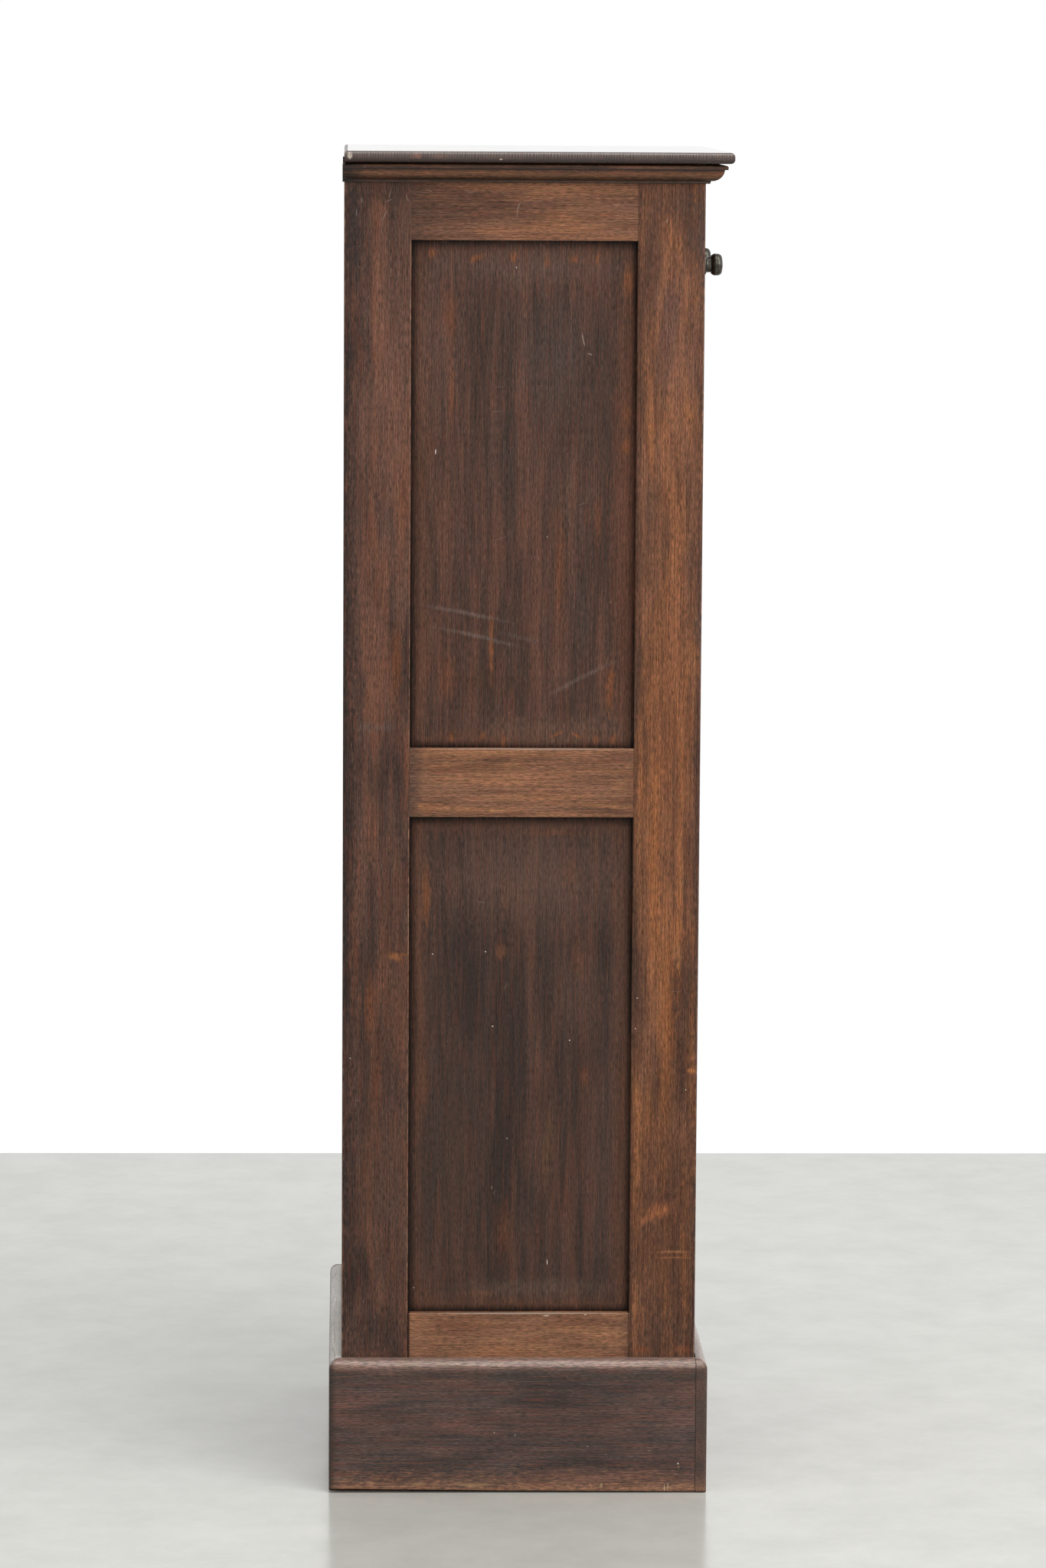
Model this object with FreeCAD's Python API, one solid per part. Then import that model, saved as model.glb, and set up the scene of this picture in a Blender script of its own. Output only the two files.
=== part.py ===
"""Tall oak cabinet with a drop-down tambour front, framed sides, a plinth and a moulded cornice.

Millimetres. +Z is up, the front faces -Y, and the origin is on the floor under the middle of the
overall box. Depths inside the cabinet are measured back from the plane of the front stiles.
"""
import FreeCAD, Part
import os
from math import cos, pi, sin

V = FreeCAD.Vector

# Overall carcass
HEIGHT = 1603.0
BODY_WIDTH = 540.0
BODY_DEPTH = 424.0

# Top board and cornice
TOP_THICKNESS = 13.0
TOP_OVERHANG = 32.0
TOP_EDGE_ROUND = 5.0
TOP_ROUND_LIMIT = 0.45
TOP_BACK_ROUND = 4.0
SHADOW_GAP = 2.2
CORNICE_UPPER_FILLET = 4.9
CORNICE_NOSE_ROUND = 2.0
CORNICE_STEP = 3.9
CORNICE_OVOLO_WIDTH = 15.2
CORNICE_OVOLO_HEIGHT = 13.2
CORNICE_LOWER_FILLET = 3.2
CORNICE_FOOT_PROJECTION = 5.6
CORNICE_FOOT_BATTER = 1.0
CORNICE_BACK_OVERRUN = 2.0

# Plinth
PLINTH_HEIGHT = 163.0
PLINTH_THICKNESS = 15.0
PLINTH_FRONT_THICKNESS = 13.3
PLINTH_TOP_ROUND = 12.5
PLINTH_ROUND_LIMIT = 0.94
PLINTH_CORNER_ROUND = 4.0
PLINTH_FOOT_ROUND = 2.0
PLINTH_BACK_LIFT = 5.0

# Frames and panels, alike on the sides and the back
FRAME_THICKNESS = 26.0
STILE_WIDTH = 79.0
TOP_RAIL_HEIGHT = 91.0
MID_RAIL_HEIGHT = 82.0
BOTTOM_RAIL_TOP = 217.0
BOTTOM_RAIL_FOOT = 24.0
PANEL_THICKNESS = 9.0
PANEL_RECESS = 11.0
PANEL_TONGUE = 8.0
PANEL_END_ROOM = 1.0
PANEL_SIDE_ROOM = 0.1
ARRIS_ROUND = 1.8
CORNER_ROUND = 2.5
BACK_FRAME_THICKNESS = 20.0
BACK_PANEL_RECESS = 6.0

# Front rails
FRONT_RAIL_THICKNESS = 16.0
FRONT_RAIL_HEIGHT = 70.0
FRONT_RAIL_LIP = 5.0
HEAD_RAIL_THICKNESS = 22.0
FRONT_TENON_THICKNESS = 8.0
FRONT_TENON_LENGTH = 10.0
FRONT_TENON_SHOULDER = 8.0
FRONT_TENON_SETBACK = 4.0

# Race that the tambour runs in
RACE_WIDTH = 7.0
RACE_DEPTH = 10.0
RACE_FROM_BACK = 36.0
RACE_FLOOR_HEIGHT = 60.0
RACE_BEND_RADIUS = 70.0
RACE_TOP_STOP = 4.0

# Tambour curtain and lead rail
SLAT_PITCH = 24.0
SLAT_GAP = 0.8
SLAT_THICKNESS = 9.0
SLAT_FACE_ROUND = 3.0
SLAT_TONGUE_THICKNESS = 5.5
SLAT_TONGUE_LENGTH = 9.0
CANVAS_THICKNESS = 1.0
CANVAS_MARGIN = 6.0
CURTAIN_SIDE_ROOM = 1.0
CURTAIN_FRONT_ROOM = 3.5
LEAD_RAIL_HEIGHT = 60.0
LEAD_RAIL_RECESS = 2.0
LEAD_RAIL_TOP_ROOM = 1.0

# Interior
FLOOR_BELOW_RAIL = 8.0
BOARD_THICKNESS = 18.0
BOARD_HOUSING = 4.0
FALSE_BACK_THICKNESS = 6.0
FALSE_BACK_ROOM = 12.0
SHELF_COUNT = 4
SHELF_FRONT_ROOM = 15.5
SHELF_END_ROOM = 0.5
CLEAT_HEIGHT = 20.0
CLEAT_THICKNESS = 12.0

# Pull knobs
KNOB_SPACING = 224.0
KNOB_BELOW_TOP = 31.0
KNOB_FOOT_RADIUS = 13.0
KNOB_BASE_RADIUS = 12.0
KNOB_BASE_LENGTH = 12.3
KNOB_COVE = 2.6
KNOB_NECK_LENGTH = 3.8
KNOB_HEAD_LIP = 1.2
KNOB_HEAD_RADIUS = 13.0
KNOB_BOWL_DEPTH = 6.6
KNOB_RIM_WIDTH = 1.2
KNOB_FACE_ROUND = 5.5
KNOB_FACE_CROWN = 0.8
KNOB_BOLT_RADIUS = 2.5
KNOB_BOLT_DEPTH_IN_KNOB = 14.0
KNOB_BOLT_HEAD_RADIUS = 5.0
KNOB_BOLT_HEAD_THICKNESS = 4.0

# Mortise lock, keyhole plate and strike
LOCK_WIDTH = 50.0
LOCK_HEIGHT = 32.0
LOCK_THICKNESS = 10.0
LOCK_PLATE_WIDTH = 74.0
LOCK_PLATE_THICKNESS = 2.0
BOLT_WIDTH = 14.0
BOLT_THICKNESS = 4.0
BOLT_HEIGHT = 22.0
BOLT_ROOM = 0.4
BOLT_THROW = 8.0
STRIKE_WIDTH = 60.0
STRIKE_THICKNESS = 1.5
STRIKE_POCKET_ROOM = 4.0
LOCK_SCREW_HEAD_RADIUS = 3.0
LOCK_SCREW_RADIUS = 1.5
LOCK_SCREW_LENGTH = 14.0
LOCK_SCREW_EDGE = 6.0
KEYHOLE_RADIUS = 3.2
KEYHOLE_SLOT_WIDTH = 3.0
KEYHOLE_SLOT_HEIGHT = 10.0
KEYHOLE_BELOW_TOP = 20.0
KEY_PLATE_WIDTH = 20.0
KEY_PLATE_HEIGHT = 34.0
KEY_PLATE_THICKNESS = 1.5

# Planes worked out from the sizes above
OVERALL_DEPTH = TOP_OVERHANG + BODY_DEPTH + PLINTH_THICKNESS
FRONT = TOP_OVERHANG - OVERALL_DEPTH / 2
BACK = FRONT + BODY_DEPTH
SIDE = BODY_WIDTH / 2
INNER = SIDE - FRAME_THICKNESS
CARCASS_TOP = HEIGHT - TOP_THICKNESS
PANEL_OPENING_HEIGHT = (CARCASS_TOP - TOP_RAIL_HEIGHT - MID_RAIL_HEIGHT - BOTTOM_RAIL_TOP) / 2
LOWER_OPENING = (BOTTOM_RAIL_TOP, BOTTOM_RAIL_TOP + PANEL_OPENING_HEIGHT)
UPPER_OPENING = (CARCASS_TOP - TOP_RAIL_HEIGHT - PANEL_OPENING_HEIGHT, CARCASS_TOP - TOP_RAIL_HEIGHT)
PANEL_GROOVE_DEPTH = PANEL_TONGUE + PANEL_END_ROOM
CORNICE_PROJECTION = CORNICE_FOOT_PROJECTION + CORNICE_OVOLO_WIDTH + CORNICE_STEP
HEAD_RAIL_BOTTOM = UPPER_OPENING[1]
FRONT_RAIL_TOP = BOTTOM_RAIL_TOP + FRONT_RAIL_LIP
LEAD_RAIL_TOP = HEAD_RAIL_BOTTOM - LEAD_RAIL_TOP_ROOM
LEAD_RAIL_BOTTOM = LEAD_RAIL_TOP - LEAD_RAIL_HEIGHT
LEAD_RAIL_FACE = FRONT + LEAD_RAIL_RECESS
CURTAIN_FACE = FRONT + FRONT_RAIL_THICKNESS + CURTAIN_FRONT_ROOM
CURTAIN_BACK = CURTAIN_FACE + SLAT_THICKNESS
FRONT_RUN = CURTAIN_FACE + SLAT_THICKNESS / 2
BACK_RUN = BACK - RACE_FROM_BACK
SLAT_COUNT = int((LEAD_RAIL_BOTTOM - RACE_FLOOR_HEIGHT - RACE_BEND_RADIUS) / SLAT_PITCH)
CURTAIN_TAIL = LEAD_RAIL_BOTTOM - SLAT_COUNT * SLAT_PITCH
FALSE_BACK_FRONT = BACK_RUN - FALSE_BACK_ROOM - FALSE_BACK_THICKNESS
FLOOR_TOP = BOTTOM_RAIL_TOP - FLOOR_BELOW_RAIL
FLOOR_BOTTOM = FLOOR_TOP - BOARD_THICKNESS
DUST_BOARD_BOTTOM = CARCASS_TOP - BOARD_THICKNESS
SHELF_FRONT = CURTAIN_BACK + CANVAS_THICKNESS + SHELF_FRONT_ROOM
LOCK_FRONT = FRONT + (HEAD_RAIL_THICKNESS - LOCK_THICKNESS) / 2
LOCK_BACK = LOCK_FRONT + LOCK_THICKNESS
LOCK_MIDDLE = FRONT + HEAD_RAIL_THICKNESS / 2
KNOB_HEIGHT = LEAD_RAIL_TOP - KNOB_BELOW_TOP
SHELF_CLEAR = (HEAD_RAIL_BOTTOM - FLOOR_TOP - SHELF_COUNT * BOARD_THICKNESS) / (SHELF_COUNT + 1)


def block(x0, x1, y0, y1, z0, z1):
    """Square-edged timber between two corners."""
    return Part.makeBox(x1 - x0, y1 - y0, z1 - z0, V(x0, y0, z0))


def face_of(edges):
    return Part.Face(Part.Wire(edges))


def lines(points):
    """Straight edges through the points, left open."""
    return [Part.LineSegment(a, b).toShape() for a, b in zip(points, points[1:])]


def arc(a, middle, b):
    return Part.Arc(a, middle, b).toShape()


def quarter_middle(centre, a, b):
    """Halfway point of the quarter circle from a to b."""
    way = (a - centre) + (b - centre)
    return centre + way.normalize() * (a - centre).Length


def arris(corner, into_a, into_b, along, radius):
    """Waste cut off a square edge to round it: the corner piece outside a quarter circle."""
    a = corner + into_a * radius
    b = corner + into_b * radius
    centre = corner + into_a * radius + into_b * radius
    edges = [Part.LineSegment(corner, a).toShape(), arc(a, quarter_middle(centre, a, b), b),
             Part.LineSegment(b, corner).toShape()]
    return face_of(edges).extrude(along)


def mirrored(shape):
    """The right-hand twin of a left-hand piece."""
    return shape.mirror(V(0, 0, 0), V(1, 0, 0))


def save(node, shape):
    shape.exportStep("parts/%s.step" % node)


def save_pair(node, shape):
    save(node + "_left", shape)
    save(node + "_right", mirrored(shape))


X, Y, Z = V(1, 0, 0), V(0, 1, 0), V(0, 0, 1)


def race():
    """Groove in the left side: down the front, under the floor and up the back, as one cutter."""
    x0 = -INNER - RACE_DEPTH

    def loop(offset):
        front = FRONT_RUN - offset
        back = BACK_RUN + offset
        low = RACE_FLOOR_HEIGHT - offset
        radius = RACE_BEND_RADIUS + offset
        corner = radius * (1 - cos(pi / 4))
        front_top = V(x0, front, CARCASS_TOP)
        back_top = V(x0, back, CARCASS_TOP)
        edges = lines([front_top, V(x0, front, low + radius)])
        edges.append(arc(V(x0, front, low + radius), V(x0, front + corner, low + corner),
                         V(x0, front + radius, low)))
        edges += lines([V(x0, front + radius, low), V(x0, back - radius, low)])
        edges.append(arc(V(x0, back - radius, low), V(x0, back - corner, low + corner),
                         V(x0, back, low + radius)))
        edges += lines([V(x0, back, low + radius), back_top, front_top])
        return face_of(edges).extrude(X * RACE_DEPTH)

    groove = loop(RACE_WIDTH / 2).cut(loop(-RACE_WIDTH / 2))
    # The front run stops just above the lead rail, behind the head rail
    stop = HEAD_RAIL_BOTTOM + RACE_TOP_STOP
    plug = block(x0, x0 + RACE_DEPTH, FRONT, FRONT + STILE_WIDTH, stop, CARCASS_TOP)
    return groove.cut(plug)


def panel_groove_x():
    """Left and right wall of the panel groove in a left-hand frame piece."""
    face = -SIDE + PANEL_RECESS
    return face - PANEL_SIDE_ROOM, face + PANEL_THICKNESS + PANEL_SIDE_ROOM


def stub_x():
    """Stub tongues of the rails share the groove with the panels."""
    face = -SIDE + PANEL_RECESS
    return face, face + PANEL_THICKNESS


def board_housings():
    """Shallow housings in the left side for the floor, the dust board and the false back."""
    x0 = -INNER - BOARD_HOUSING
    floor = block(x0, -INNER, SHELF_FRONT, FALSE_BACK_FRONT, FLOOR_BOTTOM, FLOOR_TOP)
    dust = block(x0, -INNER, FRONT + HEAD_RAIL_THICKNESS, BACK - BACK_FRAME_THICKNESS,
                 DUST_BOARD_BOTTOM, CARCASS_TOP)
    back = block(x0, -INNER, FALSE_BACK_FRONT, FALSE_BACK_FRONT + FALSE_BACK_THICKNESS,
                 FLOOR_BOTTOM, DUST_BOARD_BOTTOM)
    return [floor, dust, back]


def front_tenon(z0, z1):
    """Tenon on the left end of a front rail."""
    y0 = FRONT + FRONT_TENON_SETBACK
    return block(-INNER - FRONT_TENON_LENGTH, -INNER, y0, y0 + FRONT_TENON_THICKNESS,
                 z0 + FRONT_TENON_SHOULDER, z1 - FRONT_TENON_SHOULDER)


def back_groove_y():
    face = BACK - BACK_PANEL_RECESS
    return face - PANEL_THICKNESS - PANEL_SIDE_ROOM, face + PANEL_SIDE_ROOM


def front_stile():
    """Left front stile: panel groove on its inner edge, race and mortises on its inner face."""
    inner_edge = FRONT + STILE_WIDTH
    stile = block(-SIDE, -INNER, FRONT, inner_edge, 0, CARCASS_TOP)
    gx0, gx1 = panel_groove_x()
    cuts = [block(gx0, gx1, inner_edge - PANEL_GROOVE_DEPTH, inner_edge, 0, CARCASS_TOP)]
    cuts.append(race())
    cuts += board_housings()
    cuts.append(front_tenon(HEAD_RAIL_BOTTOM, CARCASS_TOP))
    cuts.append(front_tenon(FRONT_RAIL_TOP - FRONT_RAIL_HEIGHT, FRONT_RAIL_TOP))
    cuts.append(arris(V(-SIDE, FRONT, 0), X, Y, Z * CARCASS_TOP, CORNER_ROUND))
    for low, high in (LOWER_OPENING, UPPER_OPENING):
        cuts.append(arris(V(-SIDE, inner_edge, low), X, -Y, Z * (high - low), ARRIS_ROUND))
    return stile.cut(cuts)


def back_stile():
    """Left back stile: grooves for the side panels and the back panels, and the race."""
    inner_edge = BACK - STILE_WIDTH
    stile = block(-SIDE, -INNER, inner_edge, BACK, 0, CARCASS_TOP)
    gx0, gx1 = panel_groove_x()
    cuts = [block(gx0, gx1, inner_edge, inner_edge + PANEL_GROOVE_DEPTH, 0, CARCASS_TOP)]
    gy0, gy1 = back_groove_y()
    cuts.append(block(-INNER - PANEL_GROOVE_DEPTH, -INNER, gy0, gy1, 0, CARCASS_TOP))
    cuts.append(race())
    cuts += board_housings()
    cuts.append(arris(V(-SIDE, BACK, 0), X, -Y, Z * CARCASS_TOP, CORNER_ROUND))
    for low, high in (LOWER_OPENING, UPPER_OPENING):
        cuts.append(arris(V(-SIDE, inner_edge, low), X, Y, Z * (high - low), ARRIS_ROUND))
    return stile.cut(cuts)


def side_rail(low, high, panel_below, panel_above):
    """Left side rail between the stiles, with stub tongues, panel grooves and rounded panel edges."""
    y0 = FRONT + STILE_WIDTH
    y1 = BACK - STILE_WIDTH
    sx0, sx1 = stub_x()
    gx0, gx1 = panel_groove_x()
    rail = block(-SIDE, -INNER, y0, y1, low, high)
    rail = rail.fuse(block(sx0, sx1, y0 - PANEL_TONGUE, y1 + PANEL_TONGUE, low, high))
    cuts = board_housings()
    cuts.append(race())
    across = Y * (y1 - y0)
    if panel_below:
        cuts.append(block(gx0, gx1, y0 - PANEL_TONGUE, y1 + PANEL_TONGUE, low, low + PANEL_GROOVE_DEPTH))
        cuts.append(arris(V(-SIDE, y0, low), X, Z, across, ARRIS_ROUND))
    if panel_above:
        cuts.append(block(gx0, gx1, y0 - PANEL_TONGUE, y1 + PANEL_TONGUE, high - PANEL_GROOVE_DEPTH, high))
        cuts.append(arris(V(-SIDE, y0, high), X, -Z, across, ARRIS_ROUND))
    return rail.cut(cuts)


def side_panel(opening):
    """Flat panel that floats in the grooves round its opening."""
    sx0, sx1 = stub_x()
    return block(sx0, sx1, FRONT + STILE_WIDTH - PANEL_TONGUE, BACK - STILE_WIDTH + PANEL_TONGUE,
                 opening[0] - PANEL_TONGUE, opening[1] + PANEL_TONGUE)


def back_rail(low, high, panel_below, panel_above):
    """Rail of the framed back, with stub tongues in the back stiles."""
    gy0, gy1 = back_groove_y()
    face = BACK - BACK_PANEL_RECESS
    rail = block(-INNER, INNER, BACK - BACK_FRAME_THICKNESS, BACK, low, high)
    reach = INNER + PANEL_TONGUE
    rail = rail.fuse(block(-reach, reach, face - PANEL_THICKNESS, face, low, high))
    cuts = []
    along = X * (2 * INNER)
    if panel_below:
        cuts.append(block(-reach, reach, gy0, gy1, low, low + PANEL_GROOVE_DEPTH))
        cuts.append(arris(V(-INNER, BACK, low), -Y, Z, along, ARRIS_ROUND))
    if panel_above:
        cuts.append(block(-reach, reach, gy0, gy1, high - PANEL_GROOVE_DEPTH, high))
        cuts.append(arris(V(-INNER, BACK, high), -Y, -Z, along, ARRIS_ROUND))
    return rail.cut(cuts)


def back_panel(opening):
    face = BACK - BACK_PANEL_RECESS
    reach = INNER + PANEL_TONGUE
    return block(-reach, reach, face - PANEL_THICKNESS, face,
                 opening[0] - PANEL_TONGUE, opening[1] + PANEL_TONGUE)


def front_rail(low, high, thickness):
    """Rail across the front, tenoned into both front stiles."""
    rail = block(-INNER, INNER, FRONT, FRONT + thickness, low, high)
    tenon = front_tenon(low, high)
    return rail.fuse([tenon, mirrored(tenon)])


def plinth_round(thickness):
    """Radius of a plinth board's top edge, kept within the board."""
    return min(PLINTH_TOP_ROUND, thickness * PLINTH_ROUND_LIMIT)


def plinth_side():
    """Left plinth board: it runs through to a rounded end at the back, where its foot is planed up."""
    x = -SIDE - PLINTH_THICKNESS
    y0 = FRONT - PLINTH_THICKNESS + PLINTH_FRONT_THICKNESS
    y1 = BACK + PLINTH_THICKNESS
    across = X * PLINTH_THICKNESS
    rounding = plinth_round(PLINTH_THICKNESS)
    board = block(x, -SIDE, y0, y1, 0, PLINTH_HEIGHT)
    foot = V(0, y1 - y0, PLINTH_BACK_LIFT)
    square_to_foot = X.cross(foot).normalize()
    planed = lines([V(x, y0, 0), V(x, y1, 0), V(x, y1, PLINTH_BACK_LIFT), V(x, y0, 0)])
    cuts = [face_of(planed).extrude(across)]
    cuts.append(arris(V(x, y0, 0), X, square_to_foot, foot, PLINTH_FOOT_ROUND))
    cuts.append(arris(V(x, y0, PLINTH_HEIGHT), X, -Z, Y * (y1 - y0), rounding))
    cuts.append(arris(V(x, y1, PLINTH_HEIGHT), -Y, -Z, across, rounding))
    heel = PLINTH_BACK_LIFT * (1 - PLINTH_CORNER_ROUND / (y1 - y0))
    cuts.append(arris(V(x, y1, heel), -Y, Z, across, PLINTH_CORNER_ROUND))
    cuts.append(arris(V(x, y1, 0), X, -Y, Z * PLINTH_HEIGHT, PLINTH_CORNER_ROUND))
    return board.cut(cuts)


def plinth_front():
    """Front plinth board: it laps the ends of the side boards, and its rounded edge returns."""
    reach = SIDE + PLINTH_THICKNESS
    face = FRONT - PLINTH_THICKNESS
    along = X * (2 * reach)
    board = block(-reach, reach, face, face + PLINTH_FRONT_THICKNESS, 0, PLINTH_HEIGHT)
    cuts = [arris(V(-reach, face, PLINTH_HEIGHT), Y, -Z, along, plinth_round(PLINTH_FRONT_THICKNESS))]
    cuts.append(arris(V(-reach, face, 0), Y, Z, along, PLINTH_FOOT_ROUND))
    for side in (-1, 1):
        end = V(side * reach, face, PLINTH_HEIGHT)
        into = X * -side
        cuts.append(arris(end, into, -Z, Y * PLINTH_FRONT_THICKNESS, plinth_round(PLINTH_THICKNESS)))
        cuts.append(arris(V(side * reach, face, 0), into, Y, Z * PLINTH_HEIGHT, PLINTH_CORNER_ROUND))
    return board.cut(cuts)


def plinth_back():
    """Back plinth board, butted between the side boards."""
    face = BACK + PLINTH_THICKNESS
    along = X * BODY_WIDTH
    board = block(-SIDE, SIDE, BACK, face, 0, PLINTH_HEIGHT)
    cuts = [arris(V(-SIDE, face, PLINTH_HEIGHT), -Y, -Z, along, plinth_round(PLINTH_THICKNESS))]
    cuts.append(arris(V(-SIDE, face, 0), -Y, Z, along, PLINTH_FOOT_ROUND))
    return board.cut(cuts)


def cornice_profile(origin, out):
    """Section of the cornice: lower fillet, ovolo and a nosed upper fillet, out from a carcass face."""
    def at(projection, z):
        return origin + out * projection + Z * z
    top = CARCASS_TOP - SHADOW_GAP
    fillet = top - CORNICE_UPPER_FILLET
    shoulder = fillet - CORNICE_OVOLO_HEIGHT
    foot = shoulder - CORNICE_LOWER_FILLET
    ovolo_out = CORNICE_PROJECTION - CORNICE_STEP
    ovolo_in = CORNICE_FOOT_PROJECTION
    nose_start = at(CORNICE_PROJECTION - CORNICE_NOSE_ROUND, top)
    nose_end = at(CORNICE_PROJECTION, top - CORNICE_NOSE_ROUND)
    nose_centre = at(CORNICE_PROJECTION - CORNICE_NOSE_ROUND, top - CORNICE_NOSE_ROUND)
    bulge = at(ovolo_in + CORNICE_OVOLO_WIDTH * sin(pi / 4), fillet - CORNICE_OVOLO_HEIGHT * sin(pi / 4))
    edges = lines([at(ovolo_in, shoulder), at(ovolo_in - CORNICE_FOOT_BATTER, foot), at(0, foot), at(0, top),
                   nose_start])
    edges.append(arc(nose_start, quarter_middle(nose_centre, nose_start, nose_end), nose_end))
    edges += lines([nose_end, at(CORNICE_PROJECTION, fillet), at(ovolo_out, fillet)])
    edges.append(arc(at(ovolo_out, fillet), bulge, at(ovolo_in, shoulder)))
    return face_of(edges)


def mitre(points):
    """Upright prism over a plan outline, tall enough for the cornice."""
    base = [V(x, y, 0) for x, y in points]
    return face_of(lines(base + base[:1])).extrude(Z * HEIGHT)


def cornice_front():
    out = CORNICE_PROJECTION
    strip = cornice_profile(V(-SIDE - out, FRONT, 0), -Y).extrude(X * (BODY_WIDTH + 2 * out))
    return strip.common(mitre([(-SIDE, FRONT), (SIDE, FRONT), (SIDE + out, FRONT - out),
                               (-SIDE - out, FRONT - out)]))


def cornice_side():
    out = CORNICE_PROJECTION
    end = BACK + CORNICE_BACK_OVERRUN
    strip = cornice_profile(V(-SIDE, FRONT - out, 0), -X).extrude(Y * (end - FRONT + out))
    return strip.common(mitre([(-SIDE, FRONT), (-SIDE - out, FRONT - out), (-SIDE - out, end),
                               (-SIDE, end)]))


def top_board():
    """Top board, flush at the back, with its front and ends rounded above and below."""
    reach = SIDE + TOP_OVERHANG
    y0 = FRONT - TOP_OVERHANG
    rounding = min(TOP_EDGE_ROUND, TOP_THICKNESS * TOP_ROUND_LIMIT)
    board = block(-reach, reach, y0, BACK, CARCASS_TOP, HEIGHT)
    cuts = [arris(V(-reach, BACK, HEIGHT), -Y, -Z, X * (2 * reach), TOP_BACK_ROUND)]
    for z, into in ((CARCASS_TOP, Z), (HEIGHT, -Z)):
        cuts.append(arris(V(-reach, y0, z), Y, into, X * (2 * reach), rounding))
        for side in (-1, 1):
            cuts.append(arris(V(side * reach, y0, z), X * -side, into, Y * (BACK - y0), rounding))
    return board.cut(cuts)


def slat():
    """One tambour slat: flat back, rounded face and a tongue at each end for the race."""
    x = -INNER + CURTAIN_SIDE_ROOM
    y0 = CURTAIN_FACE
    z1 = SLAT_PITCH - SLAT_GAP
    low_arc = V(x, y0 + SLAT_FACE_ROUND, 0), V(x, y0, SLAT_FACE_ROUND)
    high_arc = V(x, y0, z1 - SLAT_FACE_ROUND), V(x, y0 + SLAT_FACE_ROUND, z1)
    low_centre = V(x, y0 + SLAT_FACE_ROUND, SLAT_FACE_ROUND)
    high_centre = V(x, y0 + SLAT_FACE_ROUND, z1 - SLAT_FACE_ROUND)
    edges = [arc(low_arc[0], quarter_middle(low_centre, *low_arc), low_arc[1])]
    edges += lines([low_arc[1], high_arc[0]])
    edges.append(arc(high_arc[0], quarter_middle(high_centre, *high_arc), high_arc[1]))
    edges += lines([high_arc[1], V(x, CURTAIN_BACK, z1), V(x, CURTAIN_BACK, 0), low_arc[0]])
    body = face_of(edges).extrude(X * (-2 * x))
    tongue = end_tongue(x, 0, z1)
    return body.fuse([tongue, mirrored(tongue)])


def end_tongue(x, z0, z1):
    """Tongue on the left end of a slat or of the lead rail."""
    half = SLAT_TONGUE_THICKNESS / 2
    return block(-INNER - SLAT_TONGUE_LENGTH, x, FRONT_RUN - half, FRONT_RUN + half, z0, z1)


def tambour_slats():
    one = slat()
    slats = []
    for i in range(SLAT_COUNT):
        copy = one.copy()
        copy.translate(V(0, 0, CURTAIN_TAIL + i * SLAT_PITCH))
        slats.append(copy)
    return Part.makeCompound(slats)


def tambour_canvas():
    x = INNER - CANVAS_MARGIN
    return block(-x, x, CURTAIN_BACK, CURTAIN_BACK + CANVAS_THICKNESS, CURTAIN_TAIL, LEAD_RAIL_BOTTOM)


def turned(profile, centre, axis_end):
    """Solid of revolution about the line from centre towards axis_end."""
    return face_of(profile).revolve(centre, axis_end - centre, 360)


def knob(x):
    """Turned pull knob on the lead rail: tapered base, cove, neck and a bun head with a bowl behind."""
    base = V(x, LEAD_RAIL_FACE, KNOB_HEIGHT)

    def at(radius, out):
        return base + Z * radius - Y * out
    neck_radius = KNOB_BASE_RADIUS - KNOB_COVE
    lip_radius = neck_radius + KNOB_HEAD_LIP
    face_radius = KNOB_HEAD_RADIUS - KNOB_FACE_ROUND
    neck_start = KNOB_BASE_LENGTH + KNOB_COVE
    head_back = neck_start + KNOB_NECK_LENGTH
    rim_back = head_back + KNOB_BOWL_DEPTH
    rim_front = rim_back + KNOB_RIM_WIDTH
    face = rim_front + KNOB_FACE_ROUND
    tip = at(0, face + KNOB_FACE_CROWN)
    cove_start = at(KNOB_BASE_RADIUS, KNOB_BASE_LENGTH)
    cove_end = at(neck_radius, neck_start)
    cove_centre = at(KNOB_BASE_RADIUS, neck_start)
    bowl_middle = at(lip_radius + (KNOB_HEAD_RADIUS - lip_radius) * sin(pi / 4),
                     rim_back - KNOB_BOWL_DEPTH * cos(pi / 4))
    round_start = at(KNOB_HEAD_RADIUS, rim_front)
    round_end = at(face_radius, face)
    # The crown is a piece of a sphere whose centre lies on the knob's axis
    crown_radius = (face_radius ** 2 + KNOB_FACE_CROWN ** 2) / (2 * KNOB_FACE_CROWN)
    crown_centre = at(0, face + KNOB_FACE_CROWN - crown_radius)
    edges = lines([at(0, 0), at(KNOB_FOOT_RADIUS, 0), cove_start])
    edges.append(arc(cove_start, quarter_middle(cove_centre, cove_start, cove_end), cove_end))
    edges += lines([cove_end, at(neck_radius, head_back), at(lip_radius, head_back)])
    edges.append(arc(at(lip_radius, head_back), bowl_middle, at(KNOB_HEAD_RADIUS, rim_back)))
    edges += lines([at(KNOB_HEAD_RADIUS, rim_back), round_start])
    round_centre = at(face_radius, rim_front)
    edges.append(arc(round_start, quarter_middle(round_centre, round_start, round_end), round_end))
    edges.append(arc(round_end, quarter_middle(crown_centre, round_end, tip), tip))
    edges += lines([tip, at(0, 0)])
    return turned(edges, base, base - Y)


def knob_bolt(x):
    """Bolt from the back of the lead rail into the knob, with its head let in flush."""
    back = V(x, CURTAIN_BACK, KNOB_HEIGHT)
    head = Part.makeCylinder(KNOB_BOLT_HEAD_RADIUS, KNOB_BOLT_HEAD_THICKNESS, back, -Y)
    reach = CURTAIN_BACK - LEAD_RAIL_FACE + KNOB_BOLT_DEPTH_IN_KNOB
    return head.fuse(Part.makeCylinder(KNOB_BOLT_RADIUS, reach, back, -Y))


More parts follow.
